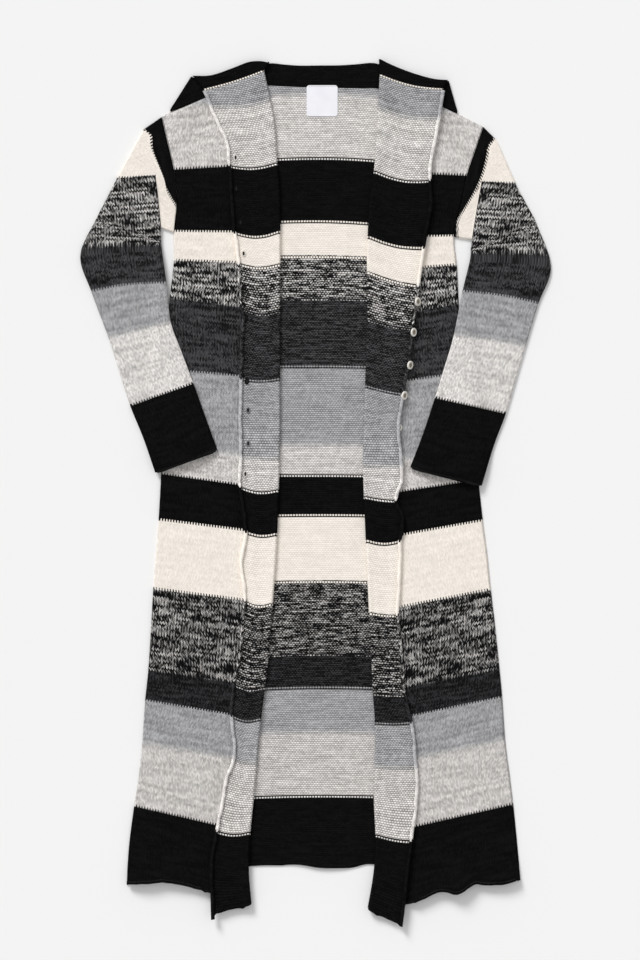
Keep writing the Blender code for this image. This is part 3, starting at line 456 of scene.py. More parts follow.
def wall(name, middle, stitches, courses, skins, closed=False, thick=WALL):
    """Closed thin shell round a grid of middle points: each is moved half the wall to both
    sides along the normal, which is the cross product of the grid's two directions. The
    stitch and course number of each point go into a UV map, and each skin gets a material."""
    rows, columns = middle.shape[:2]
    across = both_ways(middle, closed)
    along = both_ways(middle.transpose(1, 0, 2), False).transpose(1, 0, 2)
    shift = unit(np.cross(along, across)) * thick / 2
    points = np.concatenate([(middle + shift).reshape(-1, 3), (middle - shift).reshape(-1, 3)]) - MIDDLE
    span = np.arange(columns if closed else columns - 1)
    down, right = np.meshgrid(np.arange(rows - 1), span, indexing="ij")
    corner_rows = np.stack([down, down, down + 1, down + 1], axis=-1).reshape(-1, 4)
    corner_columns = np.stack([right, right + 1, right + 1, right], axis=-1).reshape(-1, 4)
    front = corner_rows * columns + corner_columns % columns
    count = rows * columns
    faces = [front, (front + count)[:, ::-1]]
    where = [(corner_rows, corner_columns), (corner_rows[:, ::-1], corner_columns[:, ::-1])]
    slots = [np.zeros(len(front)), np.ones(len(front))]
    rims = [(0 * span, span + 1, 0 * span, span), (0 * span + rows - 1, span, 0 * span + rows - 1, span + 1)]
    if not closed:
        rise = np.arange(rows - 1)
        rims.append((rise, 0 * rise, rise + 1, 0 * rise))
        rims.append((rise + 1, 0 * rise + columns - 1, rise, 0 * rise + columns - 1))
    for row_a, column_a, row_b, column_b in rims:
        a = row_a * columns + column_a % columns
        b = row_b * columns + column_b % columns
        faces.append(np.stack([a, b, b + count, a + count], axis=-1))
        where.append((np.stack([row_a, row_b, row_b, row_a], axis=-1),
                      np.stack([column_a, column_b, column_b, column_a], axis=-1)))
        slots.append(np.zeros(len(a)))
    faces = np.concatenate(faces)
    at_row = np.concatenate([w[0] for w in where])
    at_column = np.concatenate([w[1] for w in where])
    slots = np.concatenate(slots).astype(np.int32)
    a, b, c, d = (points[faces[:, i]] for i in range(4))
    volume = np.einsum("ij,ij->", np.cross(a, b), c) + np.einsum("ij,ij->", np.cross(a, c), d)
    if volume < 0:
        faces, at_row, at_column = faces[:, ::-1], at_row[:, ::-1], at_column[:, ::-1]
    mesh = bpy.data.meshes.new(name)
    mesh.vertices.add(len(points))
    mesh.vertices.foreach_set("co", (points * MM).ravel())
    mesh.loops.add(faces.size)
    mesh.loops.foreach_set("vertex_index", faces.ravel().astype(np.int32))
    mesh.polygons.add(len(faces))
    mesh.polygons.foreach_set("loop_start", np.arange(len(faces), dtype=np.int32) * 4)
    mesh.polygons.foreach_set("material_index", slots)
    uv = mesh.uv_layers.new(name="knit")
    across_uv = stitches[at_row, at_column]
    down_uv = courses[at_row, at_column]
    uv.data.foreach_set("uv", np.stack([across_uv, down_uv], axis=-1).astype(np.float32).ravel())
    for skin in skins:
        mesh.materials.append(skin)
    mesh.update(calc_edges=True)
    mesh.shade_smooth()
    return mesh


def add_cloth(name, mesh):
    """A named piece of the garment that stands for its solid."""
    piece = bpy.data.objects.new(name, mesh)
    bpy.context.scene.collection.objects.link(piece)
    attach(piece, "root")
    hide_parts(name.replace("_knit", ""))
    return piece


def stitch_count(grid, from_end=False):
    """Stitch number at each point: length along its row from the first column, or from the
    last, over the width of a stitch."""
    length = run_length(grid, axis=1)
    if from_end:
        length = length[:, -1:] - length
    return length / STITCH


# Courses are counted down the middle of the back, from a start above every point of the neck
COURSE_START = 16
# Yarns: the colour of the main strand and of the one twisted with it, how much of the second
# shows (0 to 1), and how deep the stitches look, in their bump, their uneven tone and the
# painted shade and highlight of their hollows and crests
BLACK = ("#090909", "#111111", 0.5, 0.6)
CREAM = ("#EEE6DC", "#F2EAE1", 0.5, 0.30)
MARL = ("#131314", "#C6C3C0", 0.19, 1.0)
# The _LOW yarns are darker versions of the same yarns, used in the lower stripes
MARL_LOW = ("#101011", "#B6B3B0", 0.10, 1.0)
MARL_SLEEVE = ("#121213", "#C6C3C0", 0.09, 1.0)
CHARCOAL = ("#171718", "#464648", 0.40, 0.9)
CHARCOAL_LOW = ("#121213", "#343436", 0.36, 0.9)
GREY = ("#98989A", "#A5A5A7", 0.5, 1.05)
HEATHER = ("#C8C4C1", "#D4D0CD", 0.5, 1.05)
HEATHER_LOW = ("#C0BCB9", "#CCC8C5", 0.5, 1.05)
HEATHER_SLEEVE = ("#D0CCC9", "#DCD8D5", 0.5, 1.0)
# The rolled cast-off edge: black yarn drawn a little paler, with deeper stitches, as a painted highlight on
# the roll
CAST_OFF_HIGHLIGHTED = ("#0F0F0F", "#181818", 0.5, 1.0)
# Stripes from the neck to the hem: the course or section where each ends, its yarn, and
# whether it fades into the next stripe. The last is the rolled end of the knitting.
GREY_END = 22
BODY_STRIPES = (
    (2.0, HEATHER, False), (4.0, BLACK, False), (5.0, CREAM, False), (6.0, MARL, False),
    (8.0, CHARCOAL, False), (10.0, GREY, True), (11.0, HEATHER, False), (12.0, BLACK, False),
    (14.0, CREAM, False), (16.0, MARL_LOW, False), (17.0, CHARCOAL_LOW, False), (18.0, GREY, True),
    (20.0, HEATHER_LOW, False), (22.0, BLACK, False),
)
NECK_ROW = 2.0
# How far a fade reaches from the change of yarn, how steep a clean change is, and how much
# longer the rolled end is, in courses
FADE = 1.6
CLEAN_CHANGE = 50.0
ROLLED_COURSES = 8
# Height of the V of a stitch over its width, and of the teeth where the yarn changes, in courses
V_HEIGHT = 1.1
TEETH = 1.2
# Mean height of the pattern of stitches on each side: the painted shade and highlight of the stitches are
# measured from it, which keeps a yarn's own brightness
PURL_MEAN = 0.46
KNIT_MEAN = 0.65
# How much deeper the stitches look on the strips turned back, in their bump and their painted shade and
# highlight
FLAP_DEEPER = 1.25
# Stitches of the free edge, which are pulled smooth, and the painted highlight that brightens them
EDGE_STITCHES = 1.9
EDGE_HIGHLIGHT = 0.32
# Patterns' scales, for each stitch and for each course: soft clouds of tone in all the yarn,
# specks and streaks of the second strand on the purl side, and streaks on the knit side
CLOUD_SCALE = (0.07, 0.42)
SPECK_SCALE = (1.5, 2.0)
PURL_STREAK_SCALE = (0.17, 0.83)
KNIT_STREAK_SCALE = (0.10, 7.31)
# How much the streaks choose the strand, and the middle value of the purl side's
STREAK_CHOOSES = 2.6
PURL_STREAK_MIDDLE = 0.53
# Purl side: how much of a course the dark line takes up, and the pale dashes, and the dashes'
# width as a share of a stitch
LINE_COURSES = 0.62
DASH_COURSES = 0.92
DASH_WIDTH = 0.68
# How unevenly clouds and single stitches are toned
PURL_TONES = (0.5, 0.3)
KNIT_TONES = (0.65, 0.55)
# Purl side: how much of an arc's height comes from its own bend. Knit side: the height of a leg
# and of its column, and how much lower that is between columns and in the middle of one
PURL_BEND = 0.75
LEG_HEIGHT = 0.60
COLUMN_HEIGHT = 0.40
BETWEEN_COLUMNS = 0.35
INSIDE_COLUMN = 0.2
# Where a tooth starts, from the middle of a column (0) to its side (1), and how steep it is
TOOTH_START = 0.4
TOOTH_STEEP = 4.0
# How much height chooses the strand on each side, and which leg of the V it is
PURL_HEIGHT_CHOOSES = 0.9
KNIT_HEIGHT_CHOOSES = 0.5
LEG_CHOOSES = 0.3
# How strongly and how deep, in metres, the stitches bend the light
BUMP_STRENGTH = 0.7
BUMP_DEPTH = 0.0007


def put(tree, kind, feeds=(), out=0, **settings):
    """Add a node with its settings, feed its inputs with values or links, and give back one
    of its outputs."""
    node = tree.nodes.new("ShaderNode" + kind)
    for key, value in settings.items():
        setattr(node, key, value)
    for key, value in feeds.items() if isinstance(feeds, dict) else enumerate(feeds):
        if isinstance(value, bpy.types.NodeSocket):
            tree.links.new(value, node.inputs[key])
        else:
            node.inputs[key].default_value = value
    return node.outputs[out]


def course_marks():
    """Sections where stripes end, and by how many courses each is moved, so that a change to
    darker yarn comes at a multiple of 4 courses, and one to paler yarn 2 courses after one."""
    ends = [end for end, yarn, fades in BODY_STRIPES]
    pale = [linear(yarn[1])[1] for end, yarn, fades in BODY_STRIPES]
    down = BACK_MIDDLE_Y[0] - BACK_MIDDLE_Y
    course = COURSE_START + np.interp(ends, np.arange(len(down)), down) / COURSE
    first = np.append(np.where(np.diff(pale) < 0, 0, 2), 0)
    return np.array(ends), first + 4 * np.round((course - first) / 4) - course


def body_course(row):
    """Course number at a section: length down the middle of the back over a stitch's height,
    moved to whole courses where the yarn changes."""
    down = BACK_MIDDLE_Y[0] - BACK_MIDDLE_Y
    length = through(np.arange(len(down)), down, np.atleast_1d(row))
    return COURSE_START + length / COURSE + np.interp(row, *course_marks())


def course_grid(grid):
    """Course number at each point of a panel: the section's own from the neck row down, and
    above it the number there less the length of knitting up to the point."""
    courses = np.repeat(body_course(BODY_ROWS)[:, None], grid.shape[1], axis=1)
    down = run_length(grid)
    last = int(np.searchsorted(BODY_ROWS, NECK_ROW))
    courses[:last] = courses[last] + (down[:last] - down[last]) / COURSE
    return courses


def knit_yarn(name, stripes, purl_side, deeper=1.0):
    """Matt cotton and wool yarn, two strands twisted. The knit side shows columns of V's, whose
    legs take either strand, and its stripes meet in teeth. The purl side shows offset rows of
    small arcs with long flat streaks of the second strand. Its stripes meet in a dark line on
    the paler side and a row of pale dashes on the darker. Each stitch's height bends the light
    as a bump, and is also painted into the colour as shade in its hollows and highlight on its
    crests. stripes has (last course, yarn, fades), and all stitches look as much deeper as asked."""
    material, tree, shader = new_material(name, 0.95)
    add = functools.partial(put, tree)
    place = add("SeparateXYZ", (add("UVMap", uv_map="knit"),)).node
    u, v = place.outputs["X"], place.outputs["Y"]
    column = add("Math", (u,), operation="FRACT")
    from_middle = add("Math", (column, 2.0, -1.0), operation="MULTIPLY_ADD")
    from_middle = add("Math", (from_middle,), operation="ABSOLUTE")
    drift_at = add("CombineXYZ", (add("Math", (u, CLOUD_SCALE[0]), operation="MULTIPLY"),
                                  add("Math", (v, CLOUD_SCALE[1]), operation="MULTIPLY")))
    drift = add("TexNoise", {"Vector": drift_at, "Scale": 1.0, "Detail": 2.0}, noise_dimensions="2D")
    drift = add("Math", (drift, 0.5), operation="SUBTRACT")
    if purl_side:
        course = add("Math", (v,), operation="FLOOR")
        odd = add("Math", (course, 2.0), operation="MODULO")
        share = add("Math", (v,), operation="FRACT")
        offset_u = add("Math", (odd, 0.5, u), operation="MULTIPLY_ADD")
        arc = add("Math", (add("Math", (offset_u, math.pi), operation="MULTIPLY"),), operation="SINE")
        arc = add("Math", (arc,), operation="ABSOLUTE")
        arc = add("Math", (arc, PURL_BEND, 1 - PURL_BEND), operation="MULTIPLY_ADD")
        hump = add("Math", (add("Math", (share, math.pi), operation="MULTIPLY"),), operation="SINE")
        height = add("Math", (hump, arc), operation="MULTIPLY")
        relief = add("Math", (height, PURL_MEAN), operation="SUBTRACT")
        # Odd rows look one course ahead and even rows one back, from the edge that they share
        ahead = add("Math", (odd, 2.0, -1.0), operation="MULTIPLY_ADD")
        inverse = add("Math", (1.0, share), operation="SUBTRACT")
        edge_far = add("Mix", {"Factor": odd, "A": share, "B": inverse}, data_type="FLOAT")
        line = add("Math", (edge_far, LINE_COURSES), operation="LESS_THAN")
        low_dash = add("Math", (edge_far, DASH_COURSES), operation="LESS_THAN")
        narrow_dash = add("Math", (from_middle, DASH_WIDTH), operation="LESS_THAN")
        dash = add("Math", (low_dash, narrow_dash), operation="MULTIPLY")
        paler_side = add("Math", (course, 4.0), operation="MODULO")
        paler_side = add("Math", (paler_side, 1.5), operation="GREATER_THAN")
        crossed = add("Mix", {"Factor": paler_side, "A": dash, "B": line}, data_type="FLOAT")
        yarn_course = add("Math", (ahead, crossed, course), operation="MULTIPLY_ADD")
        speck_u = add("Math", (offset_u, SPECK_SCALE[0]), operation="MULTIPLY")
        speck_v = add("Math", (v, SPECK_SCALE[1]), operation="MULTIPLY")
        speck_at = add("CombineXYZ", (add("Math", (speck_u,), operation="FLOOR"),
                                      add("Math", (speck_v,), operation="FLOOR")))
        speck = add("TexWhiteNoise", {"Vector": speck_at}, noise_dimensions="2D")
        streak_at = add("CombineXYZ", (add("Math", (u, PURL_STREAK_SCALE[0]), operation="MULTIPLY"),
                                       add("Math", (course, PURL_STREAK_SCALE[1]), operation="MULTIPLY")))
        streak = add("TexNoise", {"Vector": streak_at, "Scale": 1.0, "Detail": 3.0}, noise_dimensions="2D")
        picked = add("Math", (streak, PURL_STREAK_MIDDLE), operation="SUBTRACT")
        picked = add("Math", (picked, STREAK_CHOOSES), operation="MULTIPLY")
        speck = add("Math", (speck, 0.5), operation="SUBTRACT")
        picked = add("Math", (speck, picked), operation="ADD")
        picked = add("Math", (relief, PURL_HEIGHT_CHOOSES, picked), operation="MULTIPLY_ADD")
        cell = add("CombineXYZ", (add("Math", (offset_u,), operation="FLOOR"), course))
    else:
        leg = add("Math", (from_middle, V_HEIGHT, v), operation="MULTIPLY_ADD")
        hump = add("Math", (add("Math", (leg,), operation="FRACT"), math.pi), operation="MULTIPLY")
        hump = add("Math", (hump,), operation="SINE")
        between = add("Math", (from_middle, 4.0), operation="POWER")
        inside = add("Math", (add("Math", (1.0, from_middle), operation="SUBTRACT"), 4.0), operation="POWER")
        rib = add("Math", (between, -BETWEEN_COLUMNS, COLUMN_HEIGHT), operation="MULTIPLY_ADD")
        rib = add("Math", (inside, -INSIDE_COLUMN, rib), operation="MULTIPLY_ADD")
        height = add("Math", (hump, LEG_HEIGHT, rib), operation="MULTIPLY_ADD")
        relief = add("Math", (height, KNIT_MEAN), operation="SUBTRACT")
        feeds = (from_middle, TOOTH_STEEP, -TOOTH_STEEP * TOOTH_START)
        tooth = add("Math", feeds, operation="MULTIPLY_ADD", use_clamp=True)
        yarn_course = add("Math", (tooth, TEETH, v), operation="MULTIPLY_ADD")
        yarn_course = add("Math", (yarn_course,), operation="FLOOR")
        half = add("Math", (add("Math", (u, 2.0), operation="MULTIPLY"),), operation="FLOOR")
        leg_course = add("Math", (leg,), operation="FLOOR")
        cell = add("CombineXYZ", (half, leg_course))
        side = add("Math", (add("Math", (half, 2.0), operation="MODULO"), 0.5), operation="SUBTRACT")
        single = add("TexWhiteNoise", {"Vector": cell}, noise_dimensions="2D")
        single = add("Math", (single, 0.5), operation="SUBTRACT")
        streak_at = add("CombineXYZ", (add("Math", (u, KNIT_STREAK_SCALE[0]), operation="MULTIPLY"),
                                       add("Math", (leg_course, KNIT_STREAK_SCALE[1]), operation="MULTIPLY")))
        streak = add("TexNoise", {"Vector": streak_at, "Scale": 1.0, "Detail": 1.0}, noise_dimensions="2D")
        streak = add("Math", (streak, 0.5), operation="SUBTRACT")
        picked = add("Math", (side, LEG_CHOOSES, single), operation="MULTIPLY_ADD")
        picked = add("Math", (streak, STREAK_CHOOSES, picked), operation="MULTIPLY_ADD")
        picked = add("Math", (relief, KNIT_HEIGHT_CHOOSES, picked), operation="MULTIPLY_ADD")
        # Painted highlight: the first stitches from the rolled free edge are made brighter
        edge = add("Math", (u, EDGE_STITCHES), operation="LESS_THAN")
        relief = add("Math", (edge, EDGE_HIGHLIGHT, relief), operation="MULTIPLY_ADD")
    single = add("TexWhiteNoise", {"Vector": cell}, noise_dimensions="2D", out=1)
    single = add("Math", (add("SeparateXYZ", (single,), out=1), 0.5), operation="SUBTRACT")
    # A colour ramp is kept as 256 steps, too few for the courses, so it is read by stripe number
    number = 0.0
    for last, yarn, fades in stripes[:-1]:
        slope = 1 / (4 * FADE) if fades else CLEAN_CHANGE
        feeds = (yarn_course, slope, (0.5 - last) * slope + 0.5)
        passed = add("Math", feeds, operation="MULTIPLY_ADD", use_clamp=True)
        number = add("Math", (passed, number), operation="ADD")
    factor = add("Math", (number, len(stripes) - 1), operation="DIVIDE")
    stops = {"yarn": [], "strand": [], "share": []}
    for index, (last, (yarn, strand, share_shown, depth), fades) in enumerate(stripes):
        for beside in (-0.25, 0.25):
            edge_place = (index + beside) / (len(stripes) - 1)
            if 0 <= edge_place <= 1:
                stops["yarn"].append((edge_place, linear(yarn, depth)))
                stops["strand"].append((edge_place, linear(strand)))
                stops["share"].append((edge_place, (share_shown, share_shown, share_shown, 1.0)))
    colours = {}
    for part, places in stops.items():
        colours[part] = add("ValToRGB", (factor,))
        elements = colours[part].node.color_ramp.elements
        for _ in range(len(places) - 2):
            elements.new(0.5)
        for element, (where, colour) in zip(elements, places):
            element.position = where
            element.color = colour
    depth = add("Math", (colours["yarn"].node.outputs["Alpha"], deeper), operation="MULTIPLY")
    shown = add("Math", (picked, colours["share"]), operation="ADD", use_clamp=True)
    mixed = add("Mix", {"Factor": shown, 6: colours["yarn"], 7: colours["strand"]}, out=2, data_type="RGBA")
    cloudy, speckled = PURL_TONES if purl_side else KNIT_TONES
    uneven_tone = add("Math", (single, speckled), operation="MULTIPLY")
    uneven_tone = add("Math", (drift, cloudy, uneven_tone), operation="MULTIPLY_ADD")
    # Painted shade and highlight: the stitches' height, less its mean, darkens their hollows and lightens
    # their crests, on top of the uneven tone
    tone = add("Math", (relief, uneven_tone), operation="ADD")
    tone = add("Math", (tone, depth, 1.0), operation="MULTIPLY_ADD")
    coloured = add("VectorMath", {0: mixed, "Scale": tone}, operation="SCALE")
    tree.links.new(coloured, shader.inputs["Base Color"])
    raised = add("Math", (height, depth), operation="MULTIPLY")
    bump = add("Bump", {"Strength": BUMP_STRENGTH, "Distance": BUMP_DEPTH, "Height": raised})
    tree.links.new(bump, shader.inputs["Normal"])
    shader.inputs["Specular IOR Level"].default_value = 0.04
    return material


body_stripes = [(GREY_END, GREY, True)]
body_stripes += [(round(float(body_course(end)[0])), *rest) for end, *rest in BODY_STRIPES]
# The rolled end of the knitting, in black with a painted highlight
body_stripes.append((body_stripes[-1][0] + ROLLED_COURSES, CAST_OFF_HIGHLIGHTED, False))
body_knit = knit_yarn("striped_knit_side", body_stripes, False)
body_purl = knit_yarn("striped_purl_side", body_stripes, True)
# The strips turned back are stretched over the folds, so their stitches stand out more, with
# deeper painted shade and highlight as well as bump
flap_purl = knit_yarn("striped_purl_side_turned_back", body_stripes, True, FLAP_DEEPER)


# Soft ridges left by handling. Columns: from x, from y, to x, to y, half width, height
CREASES_RIGHT = {
    "flap": (
        (-106, 555, -74, 573, 3.5, 0.8), (-128, 540, -82, 557, 4.0, 0.8), (-129, 514, -78, 534, 4.0, 0.7),
        (-125, 499, -70, 512, 3.5, 0.6), (-65, 482, -61, 395, 3.0, 0.6), (-125, 472, -117, 395, 3.0, 0.6),
        (-63, 330, -60, 235, 3.0, 0.5), (-97, 300, -94, 180, 4.0, 0.5), (-67, 120, -66, -20, 3.5, 0.5),
        (-98, -20, -90, -150, 4.0, 0.6), (-80, -180, -84, -300, 4.0, 0.5), (-112, -330, -116, -440, 3.5, 0.6),
        (-108, -470, -120, -600, 4.0, 0.6),
    ),
    "lower": (
        (-208, 374, -148, 352, 5.0, 0.6), (-206, 340, -165, 296, 5.0, 0.5), (-226, -58, -150, -80, 6.0, 0.5),
        (-241, -300, -172, -332, 6.0, 0.5), (-252, -430, -190, -420, 6.0, 0.5),
        (-214, -520, -206, -596, 5.0, 0.7),
    ),
}
CREASES_LEFT = {
    "flap": (
        (100, 590, 112, 470, 4.0, 0.6), (152, 575, 160, 470, 4.0, 0.6), (92, 410, 90, 330, 3.0, 0.5),
        (140, 385, 149, 310, 3.5, 0.6), (88, 250, 86, 150, 3.0, 0.5), (118, 232, 112, 118, 4.0, 0.5),
        (100, 20, 104, -85, 4.0, 0.6), (92, -120, 96, -225, 3.0, 0.5), (125, -255, 134, -345, 3.5, 0.6),
        (104, -380, 106, -475, 4.0, 0.5), (110, -520, 106, -605, 4.0, 0.6),
    ),
    "lower": (
        (206, 372, 158, 346, 5.0, 0.6), (212, 332, 178, 288, 5.0, 0.5), (250, -58, 170, -90, 6.0, 0.5),
        (281, -330, 208, -300, 6.0, 0.5), (230, -500, 235, -585, 5.0, 0.9), (213, -520, 214, -590, 4.0, 0.7),
    ),
}
CREASES_BACK = (
    (-40, 425, -30, 295, 6.0, 0.6), (52, 432, 40, 328, 6.0, 0.5), (-45, 62, -38, -60, 6.0, 0.5),
    (57, 20, 50, -104, 6.0, 0.5), (-55, -250, -60, -382, 6.0, 0.6), (62, -300, 64, -420, 6.0, 0.5),
    (-4, 566, 30, 500, 6.0, 0.5),
)
CREASES_SLEEVE_RIGHT = (
    (-336, 352, -258, 340, 5.0, 0.6), (-322, 302, -248, 322, 5.0, 0.5), (-292, 214, -218, 236, 5.0, 0.5),
    (-262, 120, -196, 152, 4.0, 0.5),
)
CREASES_SLEEVE_LEFT = (
    (337, 337, 260, 324, 5.0, 0.6), (324, 284, 248, 302, 5.0, 0.5), (294, 200, 220, 221, 5.0, 0.5),
    (271, 110, 202, 131, 4.0, 0.5),
)


def creased(grid, creases, columns):
    """The panel raised along each crease by its height times a bell of the distance from its
    line, exp(-(d/width)²), which falls to nothing at both ends, in the chosen columns only."""
    raised = grid.copy()
    for from_x, from_y, to_x, to_y, width, height in creases:
        start = np.array([from_x, from_y])
        line = np.array([to_x, to_y]) - start
        share = np.clip((grid[:, :, :2] - start) @ line / (line @ line), 0.0, 1.0)
        off = np.linalg.norm(grid[:, :, :2] - start - share[:, :, None] * line, axis=2)
        raised[:, :, 2] += columns * height * np.exp(-(off / width) ** 2) * np.sin(math.pi * share)
    return raised


def longer(values, added, per):
    """Values of each point with rows for a rolled end: the last row's, and more by the length
    that is added over per."""
    return np.concatenate([values, values[-1:] + added / per])


fronts = {}
for side, table, waves, hem, room, tail, creases, facing, skins in (
        ("right", FRONT_RIGHT, WAVES_RIGHT, HEM_RIGHT, 0.0, TAIL_RIGHT, CREASES_RIGHT, 1,
         (body_knit, flap_purl)),
        ("left", FRONT_LEFT, WAVES_LEFT, HEM_LEFT, BUTTON_ROOM, TAIL_LEFT, CREASES_LEFT, -1,
         (flap_purl, body_knit))):
    sections = np.array([front_section(table, waves, hem, row, room) for row in BODY_ROWS])
    grid = finer_columns(sections, FRONT_FINENESS)
    on_flap = np.arange(grid.shape[1]) > FRONT_FINENESS * (FOLD_COLUMNS.start + len(FOLD_ANGLES) // 2)
    grid = creased(grid, creases["flap"], on_flap)
    grid = creased(grid, creases["lower"], ~on_flap)
    side_place, fold_place, edge_place = table[-1, 0:2], table[-1, 2:4], table[-1, 4:6]
    inward = unit(fold_place - side_place)
    from_side = np.maximum((grid[-1, :, :2] - side_place) @ inward, 0.0)
    whole = np.linalg.norm(fold_place - side_place)
    from_fold = np.maximum(whole - from_side, 0.0)
    at = np.arange(grid.shape[1]) / FRONT_FINENESS
    inside = np.clip(HEM_CORNER - np.minimum(from_side, from_fold), 0.0, HEM_CORNER)
    corner = HEM_CORNER - np.sqrt(HEM_CORNER ** 2 - inside ** 2)
    waver = HEM_WAVER * np.array([uneven(1.6 * place, room + 0.4) for place in from_side])
    grid = pulled_end(grid, corner + waver - tail * eased(at - FLAP_COLUMNS.stop + TAIL_COLUMNS))
    covered = whole - np.linalg.norm(edge_place - fold_place)
    lower_curl = eased((covered - CURL_PAST_EDGE - from_side) / CURL_GROWS)
    flap_curl = np.where(at < FLAP_COLUMNS.start, 0.0, eased((from_fold - CURL_PAST_FOLD) / CURL_GROWS))
    curl = np.where(at < FOLD_COLUMNS.start, lower_curl, flap_curl)
    curl *= eased(from_side / CURL_PAST_SIDE) * eased((FLAP_COLUMNS.stop - 1 - at) / CURL_END_COLUMNS)
    courses = course_grid(grid)
    stitches = stitch_count(grid, from_end=True)
    grid, added = rolled_end(grid, curl, facing)
    courses = longer(courses, added, COURSE)
    stitches = longer(stitches, 0 * added, STITCH)
    name = f"front_{side}_knit"
    piece = add_cloth(name, wall(name, grid, stitches, courses, skins))
    fronts[side] = (grid, stitches, courses)


# The back panel
# One piece of stockinette from the hem to the neck, lying with its purl side up.

# The neck edge and the collar's edge above it. Columns: neck x, neck y, collar x, collar y
NECK = np.array([
    (-215.5, 572.0, -186.0, 624.7),
    (-187.5, 582.8, -174.0, 619.5),
    (-135.0, 598.5, -133.5, 628.5),
    (-72.0, 610.8, -70.5, 644.5),
    (-22.5, 609.0, -22.5, 641.2),
    (37.5, 607.5, 37.5, 641.7),
    (91.5, 606.8, 88.5, 645.0),
    (142.5, 597.0, 139.5, 628.5),
    (187.5, 579.0, 181.5, 618.0),
    (212.0, 569.5, 200.5, 618.0),
])
NECK_STEPS = np.linspace(0, len(NECK) - 1, 2 * len(NECK) - 1)
BACK_NECK = np.column_stack([np.interp(NECK_STEPS, np.arange(len(NECK)), column) for column in NECK.T])
# Hem of the back between the fronts. Columns: x, how far it hangs lower, how high it lifts
BACK_HEM = np.array([
    (-72.0, 0.0, 0.0), (-30.0, 0.0, 3.0), (10.0, 7.0, 5.0), (50.0, 6.0, 3.0), (64.0, 0.0, 0.0),
])
BACK_FINENESS = 5
# Stitch number at the middle of the back
BACK_STITCHES = 80


def back_section(row):
    """Middle line of the back at one row, from the wearer's right side to the left."""
    right = front_corners(FRONT_RIGHT, row)[0]
    left = front_corners(FRONT_LEFT, row)[0]
    middle_y = float(through(np.arange(len(BACK_MIDDLE_Y)), BACK_MIDDLE_Y, np.array([row]))[0])
    top_right = FRONT_RIGHT[0, :2]
    top_left = FRONT_LEFT[0, :2]
    share = (BACK_NECK[:, 0] - top_right[0]) / (top_left[0] - top_right[0])
    x = right[0] + share * (left[0] - right[0])
    centre_x = (right[0] + left[0]) / 2
    side_y = np.where(x < centre_x, right[1], left[1])
    reach = np.abs(x - centre_x) / ((left[0] - right[0]) / 2)
    arched = middle_y + (side_y - middle_y) * reach ** 2
    at_neck = eased(1 - row / NECK_ROW)
    y = at_neck * (BACK_NECK[:, 1] - arched) + arched
    curl = eased(row - UNDERARM_ROW)
    first = side_points(right, unit(np.array([x[0], y[0]]) - right), curl, -1)
    last = side_points(left, unit(np.array([x[-1], y[-1]]) - left), curl, -1)[::-1]
    y = y - np.interp(x, BACK_HEM[:, 0], BACK_HEM[:, 1]) * hem_share(row)
    z = BACK_Z + np.interp(x, BACK_HEM[:, 0], BACK_HEM[:, 2]) * hem_share(row)
    return np.vstack([first, np.column_stack([x, y, z]), last])


back_sections = np.array([back_section(row) for row in BODY_ROWS])
back_grid = finer_columns(back_sections, BACK_FINENESS)
back_grid = creased(back_grid, CREASES_BACK, np.ones(back_grid.shape[1]))
back_stitches = stitch_count(back_grid)
back_stitches = back_stitches - back_stitches[:, back_grid.shape[1] // 2, None] + BACK_STITCHES
back_courses = course_grid(back_grid)
curl = np.clip((back_grid[-1, :, 2] - BACK_Z) / (2 * HEM_ROLL), 0.0, 1.0)
back_grid, added = rolled_end(back_grid, curl, -1)
back_grid[:, :, 2] = np.maximum(back_grid[:, :, 2], BACK_Z)
back_stitches = longer(back_stitches, 0 * added, STITCH)
back_courses = longer(back_courses, added, COURSE)
back_mesh = wall("back_knit", back_grid, back_stitches, back_courses, (body_purl, body_knit))
back = add_cloth("back_knit", back_mesh)


# The sleeves
# Flat tubes of stockinette with the knit side out. Each is turned down at the underarm, so
# that a tuck crosses its top, and its cuff curls a little.

# Height of the upper layer over the lower, and how much more it is in the middle
SLEEVE_LOFT = 3.0
SLEEVE_CROWN = 0.5
# The tuck's lip stands over the layer below: where it is pressed flat, where it is full, how
# far its foot lies back from it in each place, and over what share of half its width it changes
LIP_FLAT = 0.8
TUCK_STEP = 2.3
FOOT_BACK = 2.2
TUCK_SLOPE = 1.8
TUCK_WIDENS = 0.3
# How far the cap and the foot of the tuck rise over the armhole, and the length of knitting
# that the tuck hides
CAP_RISE = 0.3
FOOT_RISE = 0.5
TUCK_HIDES = 3.0
# A sleeve climbs on the front from this far outside its side seam, over this length, and lies
# this far clear of it
CLIMB_START = 30.0
CLIMB_LENGTH = 18.0
CLIMB_CLEAR = 0.1
# Sections over which it climbs, and over which the height of the tuck is lost
CLIMB_SECTIONS = 1.5
TUCK_SECTIONS = 2.5
